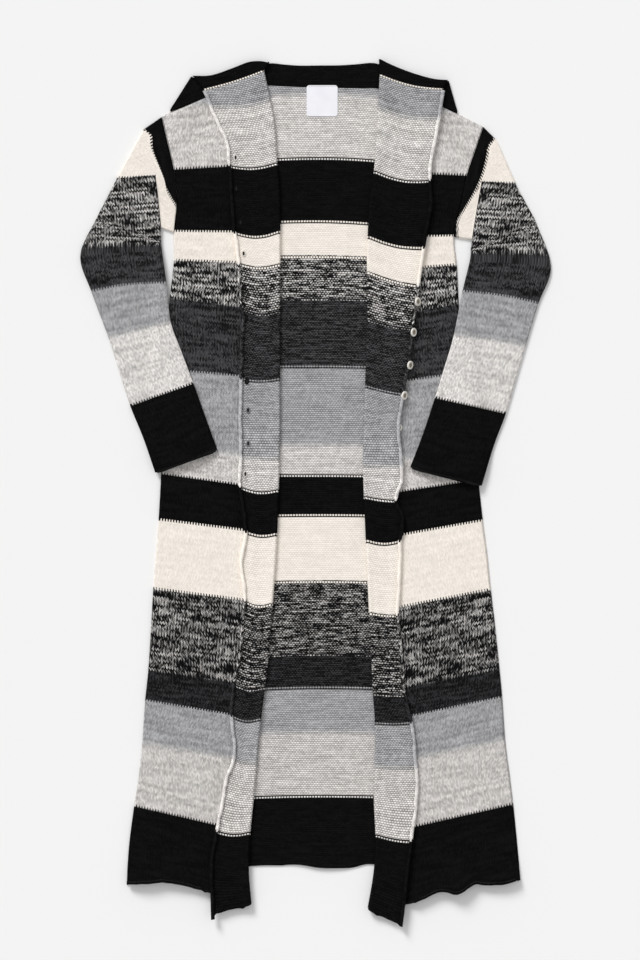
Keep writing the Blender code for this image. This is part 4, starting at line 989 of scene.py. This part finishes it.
# Columns: outer x, outer y, inner x, inner y, and how far the section bows
SLEEVE_RIGHT = np.array([
    (-327.0, 414.0, -231.0, 379.5, 0.0),
    (-352.0, 357.0, -229.5, 363.6, 1.5),
    (-334.8, 300.3, -222.3, 313.0, 4.0),
    (-309.6, 232.5, -216.0, 256.5, 1.0),
    (-294.0, 183.0, -199.5, 210.8, 0.0),
    (-277.8, 132.5, -182.6, 165.8, 0.0),
    (-257.3, 81.8, -165.8, 118.5, 0.0),
    (-239.6, 30.8, -146.3, 65.0, -2.0),
])
SLEEVE_LEFT = np.array([
    (329.3, 411.0, 233.3, 364.5, 0.0),
    (353.4, 340.5, 231.8, 348.0, 1.5),
    (334.5, 283.5, 220.5, 301.5, 3.0),
    (314.3, 216.0, 207.0, 234.0, 1.0),
    (300.8, 169.5, 193.5, 188.3, 0.0),
    (286.5, 120.8, 180.0, 144.5, 0.0),
    (267.8, 70.5, 162.0, 90.0, 0.0),
    (249.8, 11.3, 142.5, 39.0, -2.0),
])
TUCK_ROWS = ("cap_outer", "cap_middle", "cap_inner", "tuck_outer", "tuck_point", "tuck_inner")
TUCK_RIGHT = dict(zip(TUCK_ROWS, ((-257.4, 545.3), (-226.0, 472.0), (-216.0, 392.5),
                                  (-297.6, 470.6), (-239.0, 475.2), (-232.0, 397.5))))
TUCK_LEFT = dict(zip(TUCK_ROWS, ((272.0, 529.5), (243.0, 452.0), (214.0, 383.2),
                                 (300.6, 462.8), (249.6, 465.8), (236.3, 380.3))))
ARMHOLE_ROWS = np.linspace(0, UNDERARM_ROW, 33)
TOP_SHARES = ARMHOLE_ROWS / UNDERARM_ROW
SLEEVE_ARC = np.radians([70.0, 35.0, 0.0, -35.0, -70.0])
# The upper layer of the cuff rolls less tightly than a hem, and less still towards its sides
CUFF_TIGHTNESS = 0.8
CUFF_CURL = np.sin(np.pi * TOP_SHARES) ** 0.5 * CUFF_TIGHTNESS
SLEEVE_SECTIONS = np.concatenate([np.linspace(0, 1, 9)[:-1], np.linspace(1, len(SLEEVE_RIGHT) - 1, 100)])
# Lengths of knitting from the shoulder: to the end of the black at the cap, to the tuck, and
# to the next section below it
CAP_LENGTH = 62.0
TUCK_LENGTH = 142.0
FIRST_LENGTH = 254.0
# Where the black of the cap ends, from the underarm to the shoulder. Columns: y, x
CAP_EDGE_RIGHT = np.array([
    (424.8, -207.2), (441.3, -217.7), (454.8, -225.2), (469.8, -232.7), (483.3, -238.7),
    (499.8, -243.2), (517.8, -247.7), (538.0, -248.5), (545.0, -260.0),
])
CAP_EDGE_LEFT = np.array([
    (405.3, 215.9), (414.3, 218.9), (427.8, 227.9), (453.3, 242.9), (472.8, 251.9),
    (489.3, 257.1), (510.3, 261.6), (522.3, 262.4), (528.5, 271.5),
])
# Length of knitting for each millimetre across that edge
CAP_SLANT = 0.88
# Stitch number at the inner side of a sleeve
SLEEVE_STITCHES = 60
# Section where each stripe ends, and its yarn
SLEEVE_STRIPES = (
    (1.0, MARL_SLEEVE, False), (2.0, CHARCOAL, False), (3.0, GREY, True), (5.0, HEATHER_SLEEVE, False),
    (7.0, BLACK, False),
)


def sleeve_ring(plan_top, top_z, bottom_z):
    """Closed middle line of a flat tube: upper layer from outer to inner side, round the
    inner side, lower layer back, and round the outer side."""
    radius_in = (top_z[-1] - bottom_z[-1]) / 2
    radius_out = (top_z[0] - bottom_z[0]) / 2
    inward = unit(plan_top[-1] - plan_top[-2])
    outward = unit(plan_top[0] - plan_top[1])
    start = plan_top[0] - outward * (radius_out + WALL / 2)
    end = plan_top[-1] - inward * (radius_in + WALL / 2)
    flat = plan_top.copy()
    flat[0] = start
    flat[-1] = end
    back_up = SLEEVE_ARC[::-1]
    return np.vstack([
        np.column_stack([flat, top_z]),
        np.column_stack([end + np.outer(radius_in * np.cos(SLEEVE_ARC), inward),
                         bottom_z[-1] + radius_in * (1 + np.sin(SLEEVE_ARC))]),
        np.column_stack([flat[::-1], bottom_z[::-1]]),
        np.column_stack([start + np.outer(radius_out * np.cos(back_up), outward),
                         bottom_z[0] + radius_out * (1 + np.sin(back_up))]),
    ])


def on_body(points, table, sign):
    """Height of a sleeve's underside: 0 on the table, and clear of the front that it lies on."""
    order = np.argsort(table[:, 1])
    side_x = np.interp(points[:, 1], table[order, 1], table[order, 0])
    inside = (side_x - points[:, 0]) * sign
    full_height = FRONT_Z + WALL / 2 + SEAM_GAP + CLIMB_CLEAR
    return full_height * eased((inside + CLIMB_START) / CLIMB_LENGTH)


def around(values):
    """Values of the upper layer, repeated round the ring: its ends go round both sides."""
    return np.concatenate([values, np.full(len(SLEEVE_ARC), values[-1]),
                           values[::-1], np.full(len(SLEEVE_ARC), values[0])])


def sleeve_lengths(table):
    """Length of knitting at each section: along the middle of the sleeve from the first."""
    middle = (table[:, 0:2] + table[:, 2:4]) / 2
    return FIRST_LENGTH + run_length(middle[1:])


def from_inner_line(ring, inner_line, sign, inner_side):
    """Distance across the upper layer from the line of its inner side, level with the point,
    and beyond it the length round the ring, below 0."""
    beyond = run_length(ring)[inner_side] - run_length(ring)
    level = sign * (ring[:, 0] - np.interp(ring[:, 1], inner_line[:, 1], inner_line[:, 0]))
    return np.where(np.arange(len(ring)) <= inner_side, level, beyond)


def sleeve_grid(body, table, tuck, cap_edge, sign):
    """Rings of a sleeve from the armhole over the tuck to the cuff, and for each of their
    points the length of knitting down to it and across to it from the inner side."""
    armhole = np.array([front_corners(body, row)[0] for row in ARMHOLE_ROWS])
    armhole[:, 0] += sign * SEAM_GAP
    at = {name: np.array(place) for name, place in tuck.items()}
    cap = through((0.0, 0.5, 1.0), np.array([at["cap_outer"], at["cap_middle"], at["cap_inner"]]), TOP_SHARES)
    shares = TOP_SHARES * 2
    lip = (at["tuck_outer"] + np.outer(np.minimum(shares, 1), at["tuck_point"] - at["tuck_outer"])
           + np.outer(np.maximum(shares - 1, 0), at["tuck_inner"] - at["tuck_point"]))
    tucked = eased((shares - 1.0) / TUCK_WIDENS)
    foot = lip + np.column_stack([-sign * TUCK_SLOPE * tucked, FOOT_BACK * (1 - tucked)])
    flat_top = np.full(len(TOP_SHARES), FRONT_Z)
    flat_bottom = np.full(len(TOP_SHARES), BACK_Z)
    lip_top = FRONT_Z + np.maximum(TUCK_STEP * tucked, LIP_FLAT)
    rings = [sleeve_ring(armhole, flat_top, flat_bottom)]
    for share in (0.25, 0.5, 0.75, 1.0):
        rings.append(sleeve_ring(armhole + (cap - armhole) * share, flat_top + CAP_RISE * share, flat_bottom))
    for share in (0.2, 0.4, 0.6, 0.8, 1.0):
        foot_top = flat_top + CAP_RISE + FOOT_RISE * share * (1 - tucked)
        rings.append(sleeve_ring(cap + (foot - cap) * share, foot_top, flat_bottom))
    lengths = []
    for ring in rings:
        beyond = sign * (ring[:, 0] - np.interp(ring[:, 1], cap_edge[:, 0], cap_edge[:, 1]))
        lengths.append(CAP_LENGTH + CAP_SLANT * beyond)
    short = around((TUCK_LENGTH - TUCK_HIDES - lengths[9][:len(TOP_SHARES)]) * (1 - tucked))
    for step, share in enumerate((0.2, 0.4, 0.6, 0.8, 1.0), 5):
        lengths[step] = np.minimum(lengths[step] + short * share, TUCK_LENGTH - TUCK_HIDES)
    rings.append(sleeve_ring(lip, lip_top, flat_bottom))
    tuck_line = unit(at["tuck_point"] - at["tuck_outer"])
    down = np.array([tuck_line[1], -tuck_line[0]]) * -sign
    lengths.append(TUCK_LENGTH + np.maximum((rings[10][:, :2] - at["tuck_outer"]) @ down, 0.0))
    point = len(TOP_SHARES) // 2
    inner_side = len(TOP_SHARES) - 1
    inner_line = np.array([table[1, 2:4], at["tuck_inner"], at["tuck_point"]])
    across = [run_length(ring)[point] - run_length(ring) for ring in rings[:10]]
    across.append(from_inner_line(rings[10], inner_line, sign, inner_side))
    knots = sleeve_lengths(table)
    below = []
    for section in SLEEVE_SECTIONS:
        here = through(np.arange(len(table)), table, np.array([section]))[0]
        plan = here[0:2] + np.outer(TOP_SHARES, here[2:4] - here[0:2])
        plan[:, 1] += here[4] * np.sin(np.pi * TOP_SHARES)
        bottom = BACK_Z + on_body(plan, body, sign) * eased(section / CLIMB_SECTIONS)
        tuck_left = (TUCK_STEP - LIP_FLAT) * TOP_SHARES * eased(1 - section / TUCK_SECTIONS)
        top = bottom + SLEEVE_LOFT + tuck_left + SLEEVE_CROWN * np.sin(np.pi * TOP_SHARES) ** 0.5
        ring = sleeve_ring(plan, top, bottom)
        length = through(np.arange(1, len(table)), knots, np.array([max(section, 1.0)]))[0]
        top_length = TUCK_LENGTH + (ring[:, :2] - at["tuck_outer"]) @ down
        top_across = from_inner_line(ring, inner_line, sign, inner_side)
        ring_across = run_length(ring)[inner_side] - run_length(ring)
        straight = min(section, 1.0)
        below.append((ring, top_length + (length - top_length) * straight,
                      top_across + (ring_across - top_across) * straight))
    for share in (0.33, 0.67):
        rings.append(rings[10] + (below[0][0] - rings[10]) * share)
        lengths.append(lengths[10] + (below[0][1] - lengths[10]) * share)
        across.append(across[10] + (below[0][2] - across[10]) * share)
    rings += [row[0] for row in below]
    lengths += [row[1] for row in below]
    across += [row[2] for row in below]
    return np.array(rings), np.array(lengths), np.array(across)


for side, body, table, tuck, cap_edge, creases, sign in (
        ("right", FRONT_RIGHT, SLEEVE_RIGHT, TUCK_RIGHT, CAP_EDGE_RIGHT, CREASES_SLEEVE_RIGHT, -1),
        ("left", FRONT_LEFT, SLEEVE_LEFT, TUCK_LEFT, CAP_EDGE_LEFT, CREASES_SLEEVE_LEFT, 1)):
    knots = sleeve_lengths(table)
    ends = [(CAP_LENGTH, BLACK, False), (TUCK_LENGTH, CREAM, False)]
    ends += [(knots[int(end) - 1], *rest) for end, *rest in SLEEVE_STRIPES]
    sleeve_stripes = [(2 * round(end / COURSE / 2), *rest) for end, *rest in ends]
    # The rolled cuff, in black with a painted highlight
    sleeve_stripes.append((sleeve_stripes[-1][0] + ROLLED_COURSES, CAST_OFF_HIGHLIGHTED, False))
    sleeve_knit = knit_yarn(f"sleeve_{side}_knit_side", sleeve_stripes, False)
    sleeve_purl = knit_yarn(f"sleeve_{side}_purl_side", sleeve_stripes, True)
    skins = (sleeve_knit, sleeve_purl) if side == "right" else (sleeve_purl, sleeve_knit)
    grid, lengths, across = sleeve_grid(body, table, tuck, cap_edge, sign)
    grid = creased(grid, creases, np.arange(grid.shape[1]) < len(TOP_SHARES))
    curl = np.concatenate([CUFF_CURL, np.zeros(grid.shape[1] - len(CUFF_CURL))])
    grid, added = rolled_end(grid, curl, -sign, closed=True)
    lengths = longer(lengths, added, 1.0)
    looped = np.concatenate([grid, grid[:, :1]], axis=1)
    last_step = np.linalg.norm(looped[:, -1] - looped[:, -2], axis=1)
    across = longer(across, 0 * added, STITCH)
    stitches = np.column_stack([across, across[:, -1] - last_step]) / STITCH + SLEEVE_STITCHES
    courses = np.concatenate([lengths, lengths[:, :1]], axis=1) / COURSE
    name = f"sleeve_{side}_knit"
    piece = add_cloth(name, wall(name, grid, stitches, courses, skins, closed=True))


# The collar
# A plain black band linked on round the neck. It is folded at both neck points and again
# where the fronts turn back.

# Its upper edge on each front, below the flap and on it. Columns: share of the seam, x, y
COLLAR_RIGHT_UNDER = np.array([
    (0.0, -186.0, 624.7), (0.18, -170.0, 618.5), (0.45, -135.0, 628.0), (0.76, -96.0, 641.0),
    (1.0, -69.0, 646.2),
])
COLLAR_RIGHT_FLAP = np.array([
    (0.0, -69.0, 646.2), (0.22, -92.0, 647.5), (0.56, -124.0, 637.0), (0.82, -158.0, 626.0),
    (1.0, -184.0, 625.5),
])
COLLAR_LEFT_UNDER = np.array([
    (0.0, 200.5, 618.0), (0.2, 182.0, 617.0), (0.45, 148.0, 625.0), (0.76, 117.0, 638.0),
    (1.0, 96.6, 650.5),
])
COLLAR_LEFT_FLAP = np.array([
    (0.0, 96.6, 650.5), (0.22, 118.0, 640.5), (0.56, 153.0, 627.5), (0.82, 180.0, 620.5),
    (1.0, 199.0, 619.0),
])
# How far the band goes straight on from the seam, and its fine columns for each column
NECK_STRAIGHT = 2.0
COLLAR_FINENESS = 4
# Column of each front's section where its collar starts
COLLAR_FIRST_RIGHT = 5
COLLAR_FIRST_LEFT = 6
# Course where the pale linking yarn ends, and how many courses of black may follow it
LINKED_COURSES = 4
BAND_COURSES = 60
# Share of the band's half length, from its middle, where the seam on the flap starts
FLAP_SEAM = 0.72


def collar_sections(seam, up, top):
    """Sections of the collar: its edge at the seam, a line straight on from it, the middle
    and the upper edge, level with the seam."""
    near = seam + up * NECK_STRAIGHT
    top = np.column_stack([top, seam[:, 2]])
    return np.stack([seam, near, (near + top) / 2, top], axis=1)


def collar_front(grid, first, neck_x, under, flap):
    """Sections of the collar on one front, made from the points of its upper edge: from the
    neck point to the fold, round the fold and along the flap."""
    up = unit(grid[0] - grid[1])
    seam = grid[0] + up * SEAM_GAP
    fold = seam[FOLD_COLUMNS, :2].mean(axis=0)
    corner = grid[0, FOLD_COLUMNS, :2]
    lower = np.arange(first, LOWER_COLUMNS.stop)
    share = (seam[lower, 0] - neck_x) / (fold[0] - neck_x)
    tops = [through(under[:, 0], under[:, 1:], share)]
    tops.append(under[-1, 1:] + corner - corner[len(corner) // 2])
    edge = seam[FLAP_COLUMNS.stop - 1, 0]
    share = (seam[FLAP_COLUMNS, 0] - fold[0]) / (edge - fold[0])
    tops.append(through(flap[:, 0], flap[:, 1:], share))
    used = slice(first, FLAP_COLUMNS.stop)
    return collar_sections(seam[used], up[used], np.vstack(tops))


def collar_neck_fold(neck, beside, shoulder):
    """Sections of the collar round a neck point, from the back to the front."""
    radius = LAYER / 2
    place = neck[:2]
    along_seam = unit(shoulder - place)
    along_top = unit(neck[2:] - beside[2:])
    up = np.array([-along_seam[1], along_seam[0], 0.0])
    up *= math.copysign(1.0, up[1])
    out = radius * np.cos(FOLD_ANGLES) - (radius + WALL / 2)
    height = BACK_Z + radius * (1 + np.sin(FOLD_ANGLES))
    seam = np.column_stack([place + np.outer(out, along_seam), height]) + up * 2 * SEAM_GAP
    return collar_sections(seam, up, neck[2:] + np.outer(out, along_top))


on_back = slice(len(SIDE_ANGLES) + 1, len(SIDE_ANGLES) + len(BACK_NECK) - 1)
top_rows = (0.0, 0.5)
coarse_back = np.array([back_section(row) for row in top_rows])
coarse_right = np.array([front_section(FRONT_RIGHT, WAVES_RIGHT, HEM_RIGHT, row, 0.0) for row in top_rows])
coarse_left = np.array([front_section(FRONT_LEFT, WAVES_LEFT, HEM_LEFT, row, BUTTON_ROOM)
                        for row in top_rows])
back_up = unit(coarse_back[0, on_back] - coarse_back[1, on_back])
collar_middle = collar_sections(coarse_back[0, on_back] + back_up * SEAM_GAP, back_up, BACK_NECK[1:-1, 2:])
band = np.concatenate([
    collar_front(coarse_right, COLLAR_FIRST_RIGHT, NECK[0, 0], COLLAR_RIGHT_UNDER, COLLAR_RIGHT_FLAP)[::-1],
    collar_neck_fold(NECK[0], NECK[1], FRONT_RIGHT[0, :2])[::-1],
    collar_middle,
    collar_neck_fold(NECK[-1], NECK[-2], FRONT_LEFT[0, :2]),
    collar_front(coarse_left, COLLAR_FIRST_LEFT, NECK[-1, 0], COLLAR_LEFT_UNDER, COLLAR_LEFT_FLAP),
])
across_band = np.array([0.0, 0.35, 1.0, 1.25, 1.5, 1.75, 2.0, 2.25, 2.5, 2.75, 3.0])
band = through(np.arange(4), band.transpose(1, 0, 2), across_band)
band = finer_columns(band, COLLAR_FINENESS)
collar_stripes = [(LINKED_COURSES, CREAM, False), (LINKED_COURSES + BAND_COURSES, BLACK, False)]
collar_knit = knit_yarn("black_knit_side", collar_stripes, False)
collar_purl = knit_yarn("black_purl_side", collar_stripes, True)
# Only the seams on the flaps show the loops of pale yarn that the band is linked on with
on_flap = np.abs(np.arange(band.shape[1]) - (band.shape[1] - 1) / 2) > FLAP_SEAM * (band.shape[1] - 1) / 2
down_band = run_length(band) / COURSE + np.where(on_flap, LINKED_COURSES, LINKED_COURSES + 1)
collar = add_cloth("collar_knit", wall("collar_knit", band, stitch_count(band), down_band,
                                       (collar_knit, collar_purl)))


# The buttonholes
# Eleven on the wearer's right front. Each is a slit with yarn worked over all its edge, in the
# colour of the stripe that it is in.

# Columns: x, y
BUTTONHOLES = np.array([
    (-117.9, 505.0), (-116.4, 457.8), (-111.2, 405.3), (-107.4, 357.3), (-105.9, 310.8),
    (-103.7, 264.3), (-102.2, 216.3), (-101.4, 169.8), (-100.7, 121.8), (-100.7, 74.6),
    (-102.9, 29.6),
])
# Length and width to the middle of the edge's yarn, and the yarn's radius
HOLE_LENGTH = 8.0
HOLE_WIDTH = 5.0
HOLE_YARN = 0.9
HOLE_STEPS = 24
# The slit: half its width, its height over its width, how far it is sunk, how blunt its ends
# are (1 is a point), and the colour of the painted shade that fills it
SLIT_RADIUS = 1.9
SLIT_FLATNESS = 0.3
SLIT_DEPTH = 0.3
SLIT_STEPS = 9
SLIT_BLUNTNESS = 1.02
SLIT_SHADE = "#1B1A1A"


def threads(name, lines, radii, closed=False, sides=8, flatness=1.0):
    """Mesh of round threads: at each point of a line a ring of points at its radius, in the
    plane across the line, whose height is its width times the flatness. An open thread is
    closed at its ends, and a closed one joins up."""
    points, faces = [], []
    turns = 2 * math.pi * np.arange(sides) / sides
    for line in lines:
        steps = np.roll(line, -1, axis=0) - np.roll(line, 1, axis=0) if closed else np.gradient(line, axis=0)
        ahead = unit(steps)
        side = unit(np.cross(ahead, (0.0, 0.0, 1.0)))
        above = np.cross(side, ahead) * flatness
        spokes = np.cos(turns)[None, :, None] * side[:, None] + np.sin(turns)[None, :, None] * above[:, None]
        ring = line[:, None] + spokes * np.broadcast_to(radii, len(line))[:, None, None]
        first = sum(len(part) for part in points)
        points.append((ring.reshape(-1, 3) - MIDDLE) * MM)
        for i in range(len(line) if closed else len(line) - 1):
            near = first + i * sides
            far = first + (i + 1) % len(line) * sides
            faces += [(near + j, near + (j + 1) % sides, far + (j + 1) % sides, far + j)
                      for j in range(sides)]
        if not closed:
            faces.append(tuple(range(first, first + sides)))
            faces.append(tuple(range(first + (len(line) - 1) * sides, first + len(line) * sides))[::-1])
    mesh = bpy.data.meshes.new(name)
    mesh.from_pydata(np.concatenate(points).tolist(), [], faces)
    mesh.shade_smooth()
    return mesh


def add_small(name, mesh, material):
    """A named small piece, which stands for no solid."""
    mesh.materials.append(material)
    piece = bpy.data.objects.new(name, mesh)
    bpy.context.scene.collection.objects.link(piece)
    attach(piece, "root")
    return piece


right_grid, right_stitches, right_courses = fronts["right"]
flap_start = FLAP_COLUMNS.start * FRONT_FINENESS
flap_stop = (FLAP_COLUMNS.stop - 1) * FRONT_FINENESS
rims, slits, places = [], [], []
for x, y in BUTTONHOLES:
    away = np.linalg.norm(right_grid[:, flap_start:flap_stop, :2] - (x, y), axis=2)
    row, column = np.unravel_index(np.argmin(away), away.shape)
    column += flap_start
    down = unit(right_grid[row + 1, column] - right_grid[row - 1, column])
    over = right_grid[row, column + 1] - right_grid[row, column - 1]
    over = unit(over - down * (over @ down))
    normal = np.cross(down, over)
    normal *= math.copysign(1.0, normal[2])
    middle = right_grid[row, column] + normal * WALL / 2
    turns = np.linspace(0, 2 * math.pi, HOLE_STEPS, endpoint=False)
    rims.append(middle + normal * HOLE_YARN / 2 + np.outer(np.cos(turns), down) * HOLE_LENGTH / 2
                + np.outer(np.sin(turns), over) * HOLE_WIDTH / 2)
    reach = np.linspace(-0.5, 0.5, SLIT_STEPS) * HOLE_LENGTH
    slits.append(middle - normal * SLIT_DEPTH + np.outer(reach, down))
    places.append((right_stitches[row, column], right_courses[row, column]))
rim_mesh = threads("buttonhole_edges", rims, HOLE_YARN, closed=True)
uv = rim_mesh.uv_layers.new(name="knit")
loops_each = len(rim_mesh.loops) // len(places)
uv.data.foreach_set("uv", np.repeat(np.array(places), loops_each, axis=0).astype(np.float32).ravel())
add_small("buttonhole_edges", rim_mesh, flap_purl)
# A dark sheet in the open slit: painted deep shade, where the cloth below would lie in shadow
slit_shade, _, surface = new_material("painted_shade_in_the_slit", 1.0)
surface.inputs["Base Color"].default_value = linear(SLIT_SHADE)
slit_radii = SLIT_RADIUS * np.sqrt(SLIT_BLUNTNESS - np.linspace(-1, 1, SLIT_STEPS) ** 2)
slit_mesh = threads("buttonhole_slits", slits, slit_radii, flatness=SLIT_FLATNESS)
add_small("buttonhole_slits", slit_mesh, slit_shade)


# The buttons
# Turned shell, white at the rim, with the dish in its middle painted darker and browner as the
# shade of the dish and its holes. The four that lean on the rolled edge show the thread that
# they are sewn on with.

# Radius of a button, and its two holes' distance
BUTTON_RADIUS = 6.5
HOLES_APART = 3.0
# The sewing thread: its radius, its height over the button's middle, how far it dips to the
# holes, and how upright a button is that shows none
THREAD_RADIUS = 0.35
THREAD_HEIGHT = 0.75
THREAD_DIPS = 2.4
UPRIGHT = 0.9
# Scale of the shell's clouds, and how far they shift its rings, as a share of the radius
SHELL_CLOUD_SCALE = 400.0
RINGS_SHIFT = 0.12
# Colours of the rings, from the painted shade of the dish and its holes in the middle to the
# white shell at the rim. Columns: share of the radius, colour
SHELL_AND_DISH_SHADE_RINGS = (
    (0.0, "#6F655B"), (0.16, "#6F655B"), (0.26, "#8F8578"), (0.50, "#ADA293"), (0.60, "#D6CDBF"),
    (0.70, "#F7F4ED"), (1.0, "#EFEBE2"),
)
sewing_lines = []
for number in range(1, 12):
    button = bpy.data.objects[f"button_{number:02d}"]
    corners = np.empty(len(button.data.vertices) * 3)
    button.data.vertices.foreach_get("co", corners)
    corners = corners.reshape(-1, 3)
    centre = (corners.min(axis=0) + corners.max(axis=0)) / 2
    axis = np.linalg.eigh(np.cov((corners - corners.mean(axis=0)).T))[1][:, 0]
    axis *= math.copysign(1.0, axis[2])
    shell, tree, surface = new_material(f"shell_{number:02d}", 0.22)
    here = put(tree, "TexCoord", out="Object")
    from_centre = put(tree, "VectorMath", (here, tuple(centre)), operation="SUBTRACT")
    off_axis = put(tree, "VectorMath", (from_centre, tuple(axis)), operation="CROSS_PRODUCT")
    off_axis = put(tree, "VectorMath", (off_axis,), out="Value", operation="LENGTH")
    cloud = put(tree, "TexNoise", {"Vector": here, "Scale": SHELL_CLOUD_SCALE, "Detail": 2.0})
    ring_at = put(tree, "Math", (cloud, RINGS_SHIFT, -RINGS_SHIFT / 2), operation="MULTIPLY_ADD")
    ring_at = put(tree, "Math", (off_axis, 1 / (BUTTON_RADIUS * MM), ring_at), operation="MULTIPLY_ADD")
    # Painted shade of the dish and its holes in the middle, white shell towards the rim
    rings = put(tree, "ValToRGB", (ring_at,))
    for _ in range(len(SHELL_AND_DISH_SHADE_RINGS) - 2):
        rings.node.color_ramp.elements.new(0.5)
    for element, (where, colour) in zip(rings.node.color_ramp.elements, SHELL_AND_DISH_SHADE_RINGS):
        element.position = where
        element.color = linear(colour)
    tree.links.new(rings, surface.inputs["Base Color"])
    surface.inputs["Coat Weight"].default_value = 0.3
    button.material_slots[0].material = shell
    if axis[2] < UPRIGHT:
        level = unit(np.cross((0.0, 0.0, 1.0), axis))
        across_holes = np.cross(level, axis)
        top = centre / MM + MIDDLE + axis * THREAD_HEIGHT
        reach = np.linspace(-0.5, 0.5, 5)
        for side in (-1, 1):
            start = top + level * side * THREAD_RADIUS
            sewing_lines.append(start + np.outer(reach * HOLES_APART, across_holes)
                                - np.outer(THREAD_DIPS * reach ** 2, axis))
# Undyed cotton. Its grain is 0.4 mm, as fine as its twist.
COTTON_GRAIN = 2500.0
sewing_cotton, tree, surface = new_material("sewing_cotton", 0.8)
grain = put(tree, "TexNoise", {"Vector": put(tree, "TexCoord", out="Object"), "Scale": COTTON_GRAIN})
tones = {"Factor": grain, 6: linear("#8E857A"), 7: linear("#B9AFA1")}
tint = put(tree, "Mix", tones, out=2, data_type="RGBA")
tree.links.new(tint, surface.inputs["Base Color"])
add_small("button_threads", threads("button_threads", sewing_lines, THREAD_RADIUS), sewing_cotton)


# The neck label
# Bare white satin, sewn on along its upper edge. Its weave is too fine to show, so it is drawn
# as bands 1.5 mm apart.

LABEL_BAND = 1.5
# A wave texture has about this many bands in one unit at a scale of 1
WAVE_BANDS = 3.2
LABEL_CLOUD_SCALE = 45.0
# The stitching: how far below the upper edge, length and step of a stitch, height over the
# label and radius of its thread
LABEL_INSET = 1.4
LABEL_STITCH = 2.3
LABEL_STITCH_STEP = 3.1
LABEL_STITCH_RISE = 0.1
LABEL_THREAD = 0.2
satin, tree, surface = new_material("white_satin", 0.35)
here = put(tree, "TexCoord", out="Object")
band_scale = 1 / (LABEL_BAND * MM * WAVE_BANDS)
bands = put(tree, "TexWave", {"Vector": here, "Scale": band_scale, "Distortion": 0.4}, out=1,
            wave_type="BANDS", bands_direction="Y")
soft = put(tree, "TexNoise", {"Vector": here, "Scale": LABEL_CLOUD_SCALE, "Detail": 1.0})
tones = {"Factor": soft, 6: linear("#EAEAF0"), 7: linear("#FAFAFF")}
tint = put(tree, "Mix", tones, out=2, data_type="RGBA")
tree.links.new(tint, surface.inputs["Base Color"])
bump = put(tree, "Bump", {"Strength": 0.15, "Distance": 0.0002, "Height": bands})
tree.links.new(bump, surface.inputs["Normal"])
surface.inputs["Specular IOR Level"].default_value = 0.35
bpy.data.objects["neck_label"].material_slots[0].material = satin
label_low, label_high = (np.array(corner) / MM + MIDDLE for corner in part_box("neck_label"))
first, last = label_low[0] + LABEL_STITCH_STEP, label_high[0] - LABEL_STITCH_STEP
stitch_y, stitch_z = label_high[1] - LABEL_INSET, label_high[2] + LABEL_STITCH_RISE
label_rows = [np.array([(x + share * LABEL_STITCH, stitch_y, stitch_z) for share in (0.0, 0.33, 0.67, 1.0)])
              for x in np.arange(first, last, LABEL_STITCH_STEP)]
stitching = threads("label_stitching", label_rows, LABEL_THREAD, sides=6)
add_small("label_stitching", stitching, sewing_cotton)
